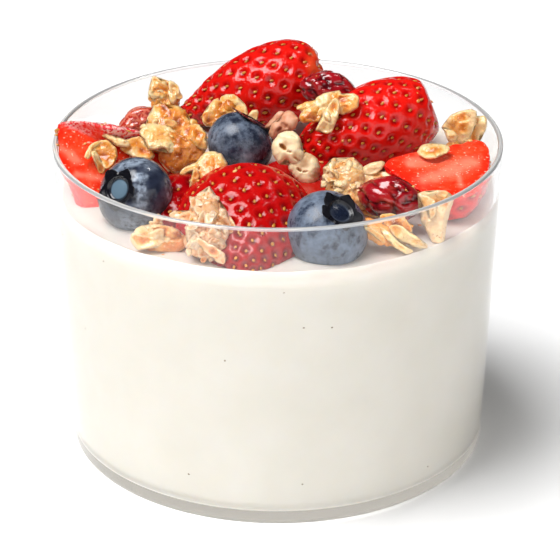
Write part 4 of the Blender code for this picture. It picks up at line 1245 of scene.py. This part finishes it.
def blueberry_body(from_top, turn, rank, crown_size):
    """Points of a berry of radius 1 with its crown at +Z, and how far each sepal stands out."""
    cup, foot, tip, outer = CROWN_ANGLES
    wide = from_top * (crown_size + (1 - crown_size) * step_up(from_top, outer, 100))
    circle = np.column_stack([np.cos(turn), np.sin(turn), np.zeros(len(turn))]) * 4
    ragged = bumps(circle, 1.1, 40 + rank)
    petal = np.abs(((turn / (2 * math.pi) * 5 + 0.3 * rank + 0.12 * ragged) % 1) * 2 - 1)
    petal = np.clip(petal * 1.25 - 0.15, 0, 1)
    rise = step_up(from_top, foot, tip) * (1 - step_up(from_top, tip, outer))
    sunk = 1 - step_up(from_top, cup - 3, foot)
    angle = np.radians(wide + rise * (2 + 7 * petal) * crown_size)
    reach = 1 + rise * (0.02 + 0.13 * petal + 0.03 * ragged) - 0.12 * sunk
    ways = np.column_stack([np.sin(angle) * np.cos(turn), np.sin(angle) * np.sin(turn), np.cos(angle)])
    points = ways * (reach + 0.008 * bumps(ways * 10, 5.0, 30 + rank))[:, None]
    points[:, 2] *= BERRY_FLATNESS
    return points, petal


def bands_on(name, world, centre):
    """Where pale bands of painted highlight and reflection lie on a berry's skin."""
    ways = world - np.array(centre)
    ways /= np.linalg.norm(ways, axis=1, keepdims=True)
    bands = np.zeros(len(ways))
    for band_way, width in HIGHLIGHT_BANDS.get(name, ()):
        off = 1 - ways @ unit_way(band_way) + 0.03 * rough(world, 1.6, 3, 80)
        bands = np.maximum(bands, np.exp(-np.maximum(off, 0) / width))
    return bands


def make_blueberries():
    """Blueberries with a cup at the crown, ringed by ragged sepals."""
    cup, foot, tip, outer = CROWN_ANGLES
    rings = np.concatenate([np.linspace(2, cup, 12), np.linspace(cup, foot, 5)[1:],
                            np.linspace(foot, tip, 9)[1:], np.linspace(tip, outer, 7)[1:],
                            np.linspace(outer, 178, 80)[1:]])
    around = np.linspace(0, 2 * math.pi, BERRY_SPOKES, endpoint=False)
    from_top, turn = (np.pad(grid.ravel(), 1) for grid in np.meshgrid(rings, around, indexing="ij"))
    from_top[-1] = 180.0
    faces = split(ring_faces(len(rings), BERRY_SPOKES))
    for rank, (name, (centre, crown_way, radius, bloom, crown_size)) in enumerate(BLUEBERRIES.items()):
        points, petal = blueberry_body(from_top, turn, rank, crown_size)
        world = placed(points * radius, centre, frame_of(crown_way, UP))
        material = blueberry_material(name + "_skin", bloom, CROWN_DISCS[name])
        # Nearly black from the edge of the cup's floor over its wall and the sepals: the sepals' own colour
        # and painted shade in the cup.
        dark = step_up(from_top, cup - 4, cup - 1) * (1 - step_up(from_top, outer - 1, outer + 1 + 4 * petal))
        add_piece(name + "_skin", kept_inside(world), faces, material, "blueberry", name,
                  pit=dark, disc=1 - step_up(from_top, cup - 5, cup - 1),
                  bands=bands_on(name, world, centre))


def make_dried_berries():
    """Dried berries with deep soft wrinkles."""
    unit, faces = ball(5)
    for rank, (name, (centre, length_way, size, paleness)) in enumerate(DRIED_BERRIES.items()):
        length, width, height = (side / 2 for side in size)
        x, y, z = unit.T
        wrinkle = 1 + 0.07 * np.sin(6 * x + 2 * z) * np.sin(5 * y + 1.5 * z) + 0.05 * np.sin(4 * z + 3 * x)
        pinch = 1 - 0.25 * z * z
        points = np.column_stack([x * width * wrinkle * pinch, y * height * wrinkle * pinch, z * length])
        fold_place = points * np.array([1.0, 1.0, 0.6]) + 30 * rank
        warp = np.column_stack([bumps(fold_place, 3.0, axis) for axis in range(3)])
        folds = np.abs(bumps(fold_place + 1.2 * warp, 2.0, 11)) + 0.5 * np.abs(bumps(fold_place, 0.9, 12))
        pit = 1 - step_up(folds, 0.0, 0.5)
        points = raised(points, faces, 0.12 - 0.5 * pit)
        add_piece(name + "_skin", placed(points, centre, frame_of(length_way, UP)), faces,
                  dried_berry_material(name + "_skin", paleness), "dried_berry", name, pit=pit)


# ---------------------------------------------------------------- granola and nuts

def flake_body(flake, phase):
    """Points and faces of one crinkled flake where it belongs, with nothing painted on it."""
    centre, flat_way, length_way, size, curl = flake
    length, width, thickness = (side / 2 for side in size)
    around = np.linspace(0, 2 * math.pi, FLAKE_SPOKES, endpoint=False)
    reach = np.sin(np.linspace(0, math.pi / 2, FLAKE_RINGS + 1)[1:])
    reach_grid, around_grid = np.meshgrid(reach, around, indexing="ij")
    x, z = reach_grid * np.sin(around_grid), reach_grid * np.cos(around_grid)
    edge = 1 + 0.10 * np.sin(3 * around_grid + phase) + 0.07 * np.sin(5 * around_grid + 2 * phase)
    rim = np.column_stack([8 * np.cos(around), 8 * np.sin(around), np.full(len(around), phase)])
    edge = edge + (0.10 * bumps(rim, 1.6, 3) + 0.05 * bumps(rim, 0.7, 4))[None, :] * reach_grid ** 2
    lift = curl * (z * z + 0.5 * x * z - 0.4)
    flat = np.stack([x * width * edge, np.full_like(x, phase * 3), z * length * edge], axis=-1)
    plane = flat.reshape(-1, 3)
    thin = min(1.0, 1.3 / thickness)
    crinkle = (0.45 * bumps(plane, 2.6, 6) + 0.2 * bumps(plane, 1.1, 7)) * thin
    fullness = np.sqrt(1 - 0.995 * reach_grid ** 4).ravel()
    sides = []
    for way in (1, -1):
        own = 0.12 * bumps(plane, 0.9, 8 + way)
        height = way * (thickness * fullness + own * fullness) - lift.ravel() + crinkle
        sides.append(np.column_stack([plane[:, 0], height, plane[:, 2]]))
    poles = np.array([[0, way * thickness + curl * 0.4, 0] for way in (1, -1)])
    upper, lower = sides[0], sides[1][:-FLAKE_SPOKES]
    upper[-FLAKE_SPOKES:, 1] = (sides[0][-FLAKE_SPOKES:, 1] + sides[1][-FLAKE_SPOKES:, 1]) / 2
    points = np.vstack([poles, upper, lower])
    rings_up = [2 + ring * FLAKE_SPOKES for ring in range(FLAKE_RINGS)]
    rings_down = [2 + len(upper) + ring * FLAKE_SPOKES for ring in range(FLAKE_RINGS - 1)] + [rings_up[-1]]
    faces = np.vstack([disc_faces(0, rings_up, FLAKE_SPOKES),
                       disc_faces(1, rings_down, FLAKE_SPOKES)[:, ::-1]])
    return placed(points, centre, frame_of(length_way, flat_way)), faces, ()


def stacked(bodies):
    """Several bodies' points, faces and painted values as one."""
    points, faces, values, count = [], [], [], 0
    for body_points, body_faces, body_values in bodies:
        points.append(body_points)
        faces.append(body_faces + count)
        values.append(body_values)
        count += len(body_points)
    return np.vstack(points), np.vstack(faces), [np.concatenate(each) for each in zip(*values)]


def lump_of(bodies, seed):
    """Bodies baked into one lump with a fine craggy surface, and its hollows."""
    points, faces = remeshed(*stacked(bodies)[:2], LUMP_VOXEL)
    pores = np.maximum(0, bumps(points, 0.8, seed + 3) - 0.35)
    depth = 0.20 * bumps(points, 1.4, seed) + 0.14 * bumps(points, 0.6, seed + 1) - 0.4 * pores
    points = raised(points, faces, depth)
    # Its hollows, which carry the painted shade in them
    return points, faces, np.clip(hollows_of(points, faces) / LUMP_VOXEL, 0, 0.5)


def inside_loop(points, loop):
    """Which points lie inside a closed line."""
    x, y = points[:, :1], points[:, 1:2]
    x0, y0 = loop.T
    x1, y1 = np.roll(loop, -1, axis=0).T
    across = (y0 > y) != (y1 > y)
    rise = np.where(np.abs(y1 - y0) < 1e-9, 1e-9, y1 - y0)
    return np.sum(across & (x < (x1 - x0) * (y - y0) / rise + x0), axis=1) % 2 == 1


def cells_about(flat, size, layer, seed):
    """For each of the nine cells about flat points: its key, and the points' offsets from its heart."""
    scaled = flat / size
    base = np.floor(scaled)
    for step in product((-1, 0, 1), repeat=2):
        cell = base + np.array(step)
        key = np.column_stack([cell, np.full(len(flat), layer)])
        yield key, scaled - cell - np.column_stack([chance(key, seed), chance(key, seed + 0.5)])


def grains(flat, size, seed):
    """Rounded grains packed side by side: 1 on top of each and towards 0 in the creases."""
    reaches = [np.linalg.norm(off, axis=1) for _, off in cells_about(flat, size, 1.0, seed)]
    return 1 - np.minimum(np.min(reaches, axis=0) / 0.85, 1) ** 2


def facets(flat, size, seed):
    """Small flat flakes side by side, each at its own height and tilt, from about -1 to 1."""
    nearest = np.full(len(flat), 9.0)
    height = np.zeros(len(flat))
    for key, off in cells_about(flat, size, 2.0, seed):
        draws = [2 * chance(key, seed + 0.3 * draw) - 1 for draw in range(3)]
        reach = np.linalg.norm(off, axis=1)
        own = 0.6 * draws[0] + 0.9 * draws[1] * off[:, 0] + 0.9 * draws[2] * off[:, 1]
        height = np.where(reach < nearest, own, height)
        nearest = np.minimum(nearest, reach)
    return height


def plate_grid(loop):
    """Even triangles that fill a closed line: points, faces, and how far each point is from the line."""
    low, high = loop.min(axis=0), loop.max(axis=0)
    columns = np.arange(low[0], high[0], PLATE_STEP)
    rows = np.arange(low[1], high[1], PLATE_STEP * ROW_SHARE)
    grid_x, grid_y = np.meshgrid(columns, rows)
    grid_x = grid_x + (np.arange(len(rows)) % 2)[:, None] * PLATE_STEP / 2
    grid = np.column_stack([grid_x.ravel(), grid_y.ravel()])
    grid = grid[inside_loop(grid, loop)]
    away = np.min(np.linalg.norm(grid[:, None] - loop[None], axis=2), axis=1)
    keep = away > 0.55 * PLATE_STEP
    flat = np.vstack([loop, grid[keep]])
    count = len(loop)
    border = [(i, (i + 1) % count) for i in range(count)]
    made = delaunay_2d_cdt([Vector(point) for point in flat], border, [list(range(count))], 1, 1e-5, True)
    sources = np.array([source[0] if source else 0 for source in made[3]])
    faces = np.array([[sources[index] for index in face] for face in made[2]])
    turn = np.cross(flat[faces[:, 1]] - flat[faces[:, 0]], flat[faces[:, 2]] - flat[faces[:, 0]])
    faces[turn < 0] = faces[turn < 0][:, ::-1]
    return flat, faces, np.concatenate([np.zeros(count), away[keep]])


def plate_relief(place, crinkle, grain, seed):
    """A plate's fine relief, from a wrinkled flake to packed crumbs, with its creases and its facets."""
    flat = place[:, :2]
    shifted = crinkle[:, None]
    folds = bumps(place + 0.6 * shifted, 1.9, 5)
    wrinkles = 0.24 * (1 - 3 * np.abs(folds)) + 0.08 * bumps(place, 0.6, 6)
    stuck = step_up(bumps(place, 2.5, 14), 0.1, 0.6) * grains(flat, 0.8, seed + 1)
    small, large = grains(flat, 0.75, seed + 2), grains(flat + 0.3 * shifted, 1.7, seed)
    flakes, chips = facets(flat + 0.4 * shifted, 1.5, seed + 3), facets(flat + 0.3 * shifted, 0.8, seed + 4)
    crumbs = 0.55 * (large - 0.6) + 0.35 * (small - 0.6) + 0.5 * flakes + 0.3 * chips
    fine = (1 - grain) * (wrinkles + 0.25 * stuck + 0.18 * flakes) + grain * crumbs
    creases = grain * (1 - small * np.sqrt(large)) + (1 - grain) * np.clip(-2.4 * wrinkles, 0, 1)
    return fine, creases, flakes


def carved_by(grooves, flat):
    """How deep grooves cut into a plate at each point; they taper to their ends."""
    carved = np.zeros(len(flat))
    for start, end, half_width, depth in grooves:
        share, off = along_line(flat, start, end)
        ends = np.clip(4 * share * (1 - share) + 0.25, 0, 1)
        carved = np.maximum(carved, depth * ends * np.exp(-(off / (half_width * ends)) ** 2))
    return carved


def plate_body(plate, edge, grain, seed, grooves=(), relief=1.0):
    """A plate drawn by its outline: points (right, up, depth), faces, and its tone, rim and hollow.

    edge is the width of its rounded rim, and grain runs from 0 for a flake to 1 for packed crumbs.
    """
    plate = Plate(*plate)
    loop = smooth_loop(plate.outline, PLATE_STEP)
    loop_place = np.column_stack([loop, np.full(len(loop), 3.0 * seed)])
    ways = loop - loop.mean(axis=0)
    ways /= np.linalg.norm(ways, axis=1, keepdims=True)
    loop = loop + ways * two_layers(loop_place, OUTLINE_WANDER, (1.1, 0.5), 1)[:, None]
    flat, faces, away = plate_grid(loop)
    place = np.column_stack([flat, np.full(len(flat), 3.0 * seed)])
    crinkle = two_layers(place, CRINKLE, (3.0, 1.3), 3)
    offset = flat - flat.mean(axis=0)
    reach = np.max(np.linalg.norm(offset, axis=1))
    domed = plate.dome * np.sum(offset ** 2, axis=1) / reach ** 2
    level = plate.depth + offset @ np.array(plate.lean) - domed + crinkle
    level = level + 0.35 * (1 - grain) * np.exp(-away / 0.7) * (0.4 + bumps(place, 3.2, 16))
    full = plate.thickness / 2 * np.sqrt(1 - (1 - np.minimum(away / edge, 1)) ** 2)
    fine, creases, flakes = plate_relief(place, crinkle, grain, seed)
    fine = relief * fine * np.minimum(away / 0.4, 1)
    carved = carved_by(grooves, flat)
    count = len(loop)
    upper = np.column_stack([flat, level + full + fine - carved])
    lower = np.column_stack([flat, level - full])[count:]
    flipped = faces[:, ::-1].copy()
    flipped[flipped >= count] += len(flat) - count
    # Sunken facets get a darker tone and raised ones a paler one, a painted shade; the hollow value carries
    # painted shade into grooves and creases.
    tones = plate.tone + two_layers(place, TONE_SPREAD, (2.2, 0.7), 7) - 0.12 * flakes * (0.4 + grain)
    values = (tones, np.exp(-away / 0.45), np.clip(carved, 0, 1) + 0.8 * creases)
    doubled = [np.concatenate([value, value[count:]]) for value in values]
    return np.vstack([upper, lower]), np.vstack([faces, flipped]), doubled


def chips_on(points, plate, count, seed):
    """Small flakes stuck on a plate's front, each drawn as a plate of its own."""
    # Nearly the first half of a plate's points is its front
    front = 0.45 * len(points)
    chips = []
    for index in range(count):
        cell = np.array([index, seed, 3.0])
        draws = [chance(cell, draw) for draw in range(15)]
        right, up, level = points[int(draws[1] * front)]
        way, reach = 2 * math.pi * draws[2], 0.55 + 0.7 * draws[3]
        corners = []
        for corner in range(CHIP_CORNERS):
            angle, out = 2 * math.pi * corner / CHIP_CORNERS, reach * (0.75 + 0.5 * draws[4 + corner])
            along, across = CHIP_STRETCH[0] * out * math.cos(angle), CHIP_STRETCH[1] * out * math.sin(angle)
            corners.append((right + along * math.cos(way) - across * math.sin(way),
                            up + along * math.sin(way) + across * math.cos(way)))
        lean = (plate.lean[0] + 1.3 * (draws[12] - 0.5), plate.lean[1] + 1.3 * (draws[13] - 0.5))
        tone = plate.tone + 0.35 * (draws[14] - 0.45)
        chips.append(Plate(level + CHIP_HEIGHT, lean, 0.3, CHIP_THICKNESS, tone, corners))
    return chips


def lump_bodies(name, rank, anchor, plates):
    """The parts of one lump: its plates, the small flakes stuck on them, and its crumbly core."""
    bodies = []
    for index, plate in enumerate(plates):
        plate = Plate(*plate)
        grain = float(step_up(plate.thickness, *CRUMBLY_THICKNESS))
        points, faces, values = plate_body(plate, PLATE_EDGE, grain, 7 * rank + index)
        bodies.append((seen_to_world(points, anchor), faces, values))
        area = np.prod(points[:, :2].max(axis=0) - points[:, :2].min(axis=0)) * 0.75
        share = CHIPS_ON_CRUMBS * grain + (CHIPS_ON_CLUSTERS if "cluster" in name else 0.0)
        for chip in chips_on(points, plate, int(area * share), 31 * rank + 5 * index):
            points, faces, values = plate_body(chip, CHIP_EDGE, 0.0, 200 + len(bodies))
            bodies.append((seen_to_world(points, anchor), faces, values))
    if name in CORES:
        cores = [flake_body(core, 1.3 * index + len(name)) for index, core in enumerate(CORES[name])]
        points, faces, hollow = lump_of(cores, 10 * rank)
        # The core, which lies under the plates, gets a darker tone than its first plate as painted shade.
        tones = Plate(*plates[0]).tone + 0.12 + 0.15 * bumps(points, 1.5, 3)
        bodies.append((points, faces, [tones, np.zeros(len(points)), hollow]))
    return bodies


def make_granola(material):
    """Each lump of granola: glazed plates over a crumbly core."""
    for rank, (name, (anchor, plates)) in enumerate(PLATES.items()):
        points, faces, (tones, rims, hollows) = stacked(lump_bodies(name, rank, anchor, plates))
        add_piece(name + "_baked", kept_inside(points), faces, material, "granola", name,
                  tone=tones, rim=rims, hollow=hollows, pink=np.full(len(tones), PINKISH.get(name, 0.0)))


def make_nuts():
    """Pieces of nut with grooves."""
    materials = {
        "nut_curl": nut_material("nut_pale", (0.44, 0.17, 0.04), (0.86, 0.66, 0.38), (0.92, 0.77, 0.50)),
        "nut_red": nut_material("nut_brown", (0.28, 0.06, 0.02), (0.62, 0.24, 0.12), (0.78, 0.46, 0.30)),
    }
    for rank, (name, (anchor, plates)) in enumerate(NUT_PLATES.items()):
        bodies = []
        for index, (depth, lean, dome, thickness, outline, grooves) in enumerate(plates):
            plate = Plate(depth, lean, dome, thickness, NUT_TONE, outline)
            seed = 90 + 7 * rank + index
            points, faces, values = plate_body(plate, thickness / 2, NUT_GRAIN, seed, grooves, NUT_RELIEF)
            bodies.append((seen_to_world(points, anchor), faces, values))
        points, faces, (_, _, hollows) = stacked(bodies)
        add_piece(name + "_piece", points, faces, materials[name], "nut", name, hollow=hollows)


def dropped(spots, pieces):
    """Where points (x, y) let fall from above land on the pieces, and the ways the surface looks."""
    points, faces, count = [], [], 0
    for piece in pieces:
        mesh = piece.data
        points += [tuple(vertex.co / MM) for vertex in mesh.vertices]
        faces += [[index + count for index in face.vertices] for face in mesh.polygons]
        count = len(points)
    tree = BVHTree.FromPolygons(points, faces)
    landed = [tree.ray_cast(Vector((x, y, 90.0)), -UP) for x, y in spots]
    return [(np.array(hit[0]), np.array(hit[1])) for hit in landed if hit[0] is not None]


def scattered(places, sizes, seed):
    """Small uneven grains resting at places: points, faces and a tone for each point."""
    unit, unit_faces = ball(2)
    bodies = []
    for index, ((place, normal), size) in enumerate(zip(places, sizes)):
        spin = index * 2.4 + seed
        rotation = frame_of((math.cos(spin), math.sin(spin), 0.3 * math.sin(3 * spin)), normal)
        uneven = 1 + 0.35 * bumps(unit * 3 + 9 * index, 1.6, seed)
        shape = unit * uneven[:, None] * np.array([0.7, 0.45, 1.0]) * size
        tone = np.full(len(unit), 0.1 + 0.5 * ((index * GOLDEN_SHARE) % 1))
        bodies.append((placed(shape, place + normal * 0.2 * size, rotation), unit_faces, [tone]))
    return stacked(bodies)


def loose_spots():
    """Where crumbs fall round the lumps, as (x, y), and how large each is."""
    reach = inner_radius(YOGURT_LEVEL) - 1.2
    spots, sizes = [], []
    for rank, (anchor, _) in enumerate(PLATES.values()):
        for index in range(CRUMBS_EACH):
            cell = np.array([rank, index, 1.0])
            way, out = 2 * math.pi * chance(cell, 1), CRUMB_NEAREST + CRUMB_SPREAD * chance(cell, 2)
            spot = (anchor[0] + out * math.cos(way), anchor[1] + out * math.sin(way))
            if np.hypot(*spot) < reach:
                spots.append(spot)
                sizes.append(CRUMB_SIZE[0] + (CRUMB_SIZE[1] - CRUMB_SIZE[0]) * chance(cell, 3) ** 2)
    return spots, sizes


def make_crumbs(material):
    """Loose crumbs on what lies round the lumps of granola."""
    pieces = [piece for piece in bpy.context.scene.objects
              if piece.name.endswith(("_skin", "_baked", "_piece")) or piece.name == "yogurt_fill"]
    spots, sizes = loose_spots()
    points, faces, (tones,) = scattered(dropped(spots, pieces), sizes, 5)
    add_piece("granola_crumbs", kept_inside(points), faces, material, "granola", tone=tones)


def make_oat(material):
    """An oat on the right slice."""
    anchor, plate = OAT
    points, faces, (tones, rims, _) = plate_body(plate, OAT_EDGE, 0.5, 61)
    middle = np.linalg.norm((points[:, :2] - np.array(OAT_MIDDLE)) / np.array(OAT_MIDDLE_SIZE), axis=1)
    add_piece("oat", seen_to_world(points, anchor), faces, material, "granola",
              tone=tones + 0.26 * (1 - step_up(middle, 0.3, 1.0)), rim=rims)


def speck_material():
    """Ground vanilla."""
    shade = Shade("vanilla", Roughness=0.6)
    shade.colour(shade.ramp(shade.noise(0.4), (0.3, (0.10, 0.05, 0.02)), (0.7, (0.30, 0.20, 0.11))))
    return shade.material


def make_specks():
    """Fine dark specks in the yogurt that show through the glass."""
    places, sizes = [], []
    for index in range(SPECKS):
        cell = np.array([index, 4.0, 2.0])
        way = 2 * math.pi * chance(cell, 1)
        height = SPECK_HEIGHTS[0] + (SPECK_HEIGHTS[1] - SPECK_HEIGHTS[0]) * chance(cell, 2)
        outward = np.array([math.cos(way), math.sin(way), 0.0])
        places.append((outward * (inner_radius(height) + INTO_WALL) + np.array([0, 0, height]), outward))
        large = chance(np.array([index, 7.0, 1.0]), 3)
        sizes.append(SPECK_SIZE[0] + (SPECK_SIZE[1] - SPECK_SIZE[0]) * large)
    add_piece("vanilla_specks", *scattered(places, sizes, 8)[:2], speck_material(), "yogurt")


# ---------------------------------------------------------------- floor, camera, light

def make_stage():
    """A plain pale floor."""
    mesh = bpy.data.meshes.new("floor")
    side = 4.0
    corners = [(-side, -side, 0), (side, -side, 0), (side, side, 0), (-side, side, 0)]
    mesh.from_pydata(corners, [], [(0, 1, 2, 3)])
    floor = bpy.data.objects.new("floor", mesh)
    bpy.context.scene.collection.objects.link(floor)
    shade = Shade("floor", Base_Color=(0.92, 0.92, 0.92, 1), Roughness=0.9)
    mesh.materials.append(shade.material)


def make_camera():
    """The camera looks down a little from the front, through a long lens."""
    data = bpy.data.cameras.new("camera")
    data.sensor_width = 36
    data.lens = 176.9
    data.shift_x = 0.0039
    data.shift_y = 0.0075
    data.clip_start = 0.05
    camera = bpy.data.objects.new("camera", data)
    bpy.context.scene.collection.objects.link(camera)
    elevation = math.radians(25.3)
    distance = 0.52
    camera.location = (0, -distance * math.cos(elevation), 0.03 + distance * math.sin(elevation))
    camera.rotation_euler = (math.pi / 2 - elevation, 0, 0)
    bpy.context.scene.camera = camera


def add_light(name, towards, distance, size, power, height=0.0):
    """A soft panel at a distance in metres towards a way, facing the parfait."""
    data = bpy.data.lights.new(name, "AREA")
    data.shape = "RECTANGLE"
    data.size = size
    data.size_y = height or size
    data.energy = power
    light = bpy.data.objects.new(name, data)
    target = Vector((0, 0, 0.03))
    light.location = target + Vector(towards).normalized() * distance
    light.rotation_euler = (target - light.location).to_track_quat("-Z", "Y").to_euler()
    bpy.context.scene.collection.objects.link(light)


def make_lights():
    """A large key high on the left, a low fill at the front right, a sparkle, and a bright low surround."""
    add_light("key", (-0.38, -0.12, 0.915), 2.2, 1.38, 69.0)
    add_light("front_fill", (0.34, -0.9, 0.30), 1.6, 2.6, 14.2, 1.1)
    add_light("sparkle", (0.35, 0.45, 0.85), 0.9, 0.07, 0.5)
    world = bpy.data.worlds.new("studio")
    world.use_nodes = True
    tree = world.node_tree
    way = tree.nodes.new("ShaderNodeTexCoord")
    parts = tree.nodes.new("ShaderNodeSeparateXYZ")
    fade = tree.nodes.new("ShaderNodeMapRange")
    fade.inputs["From Min"].default_value = SURROUND_TOP[0]
    fade.inputs["From Max"].default_value = SURROUND_TOP[1]
    fade.inputs["To Min"].default_value = SURROUND_LOW
    fade.inputs["To Max"].default_value = SURROUND_HIGH
    tree.links.new(way.outputs["Generated"], parts.inputs[0])
    tree.links.new(parts.outputs["Z"], fade.inputs["Value"])
    tree.links.new(fade.outputs["Result"], tree.nodes["Background"].inputs["Strength"])
    bpy.context.scene.world = world


make_stage()
make_camera()
make_lights()
bpy.context.scene.view_settings.view_transform = "Standard"
make_glass()
make_yogurt()
make_strawberries()
make_blueberries()
make_dried_berries()
granola = granola_material()
make_granola(granola)
make_nuts()
make_crumbs(granola)
make_oat(granola)
make_specks()
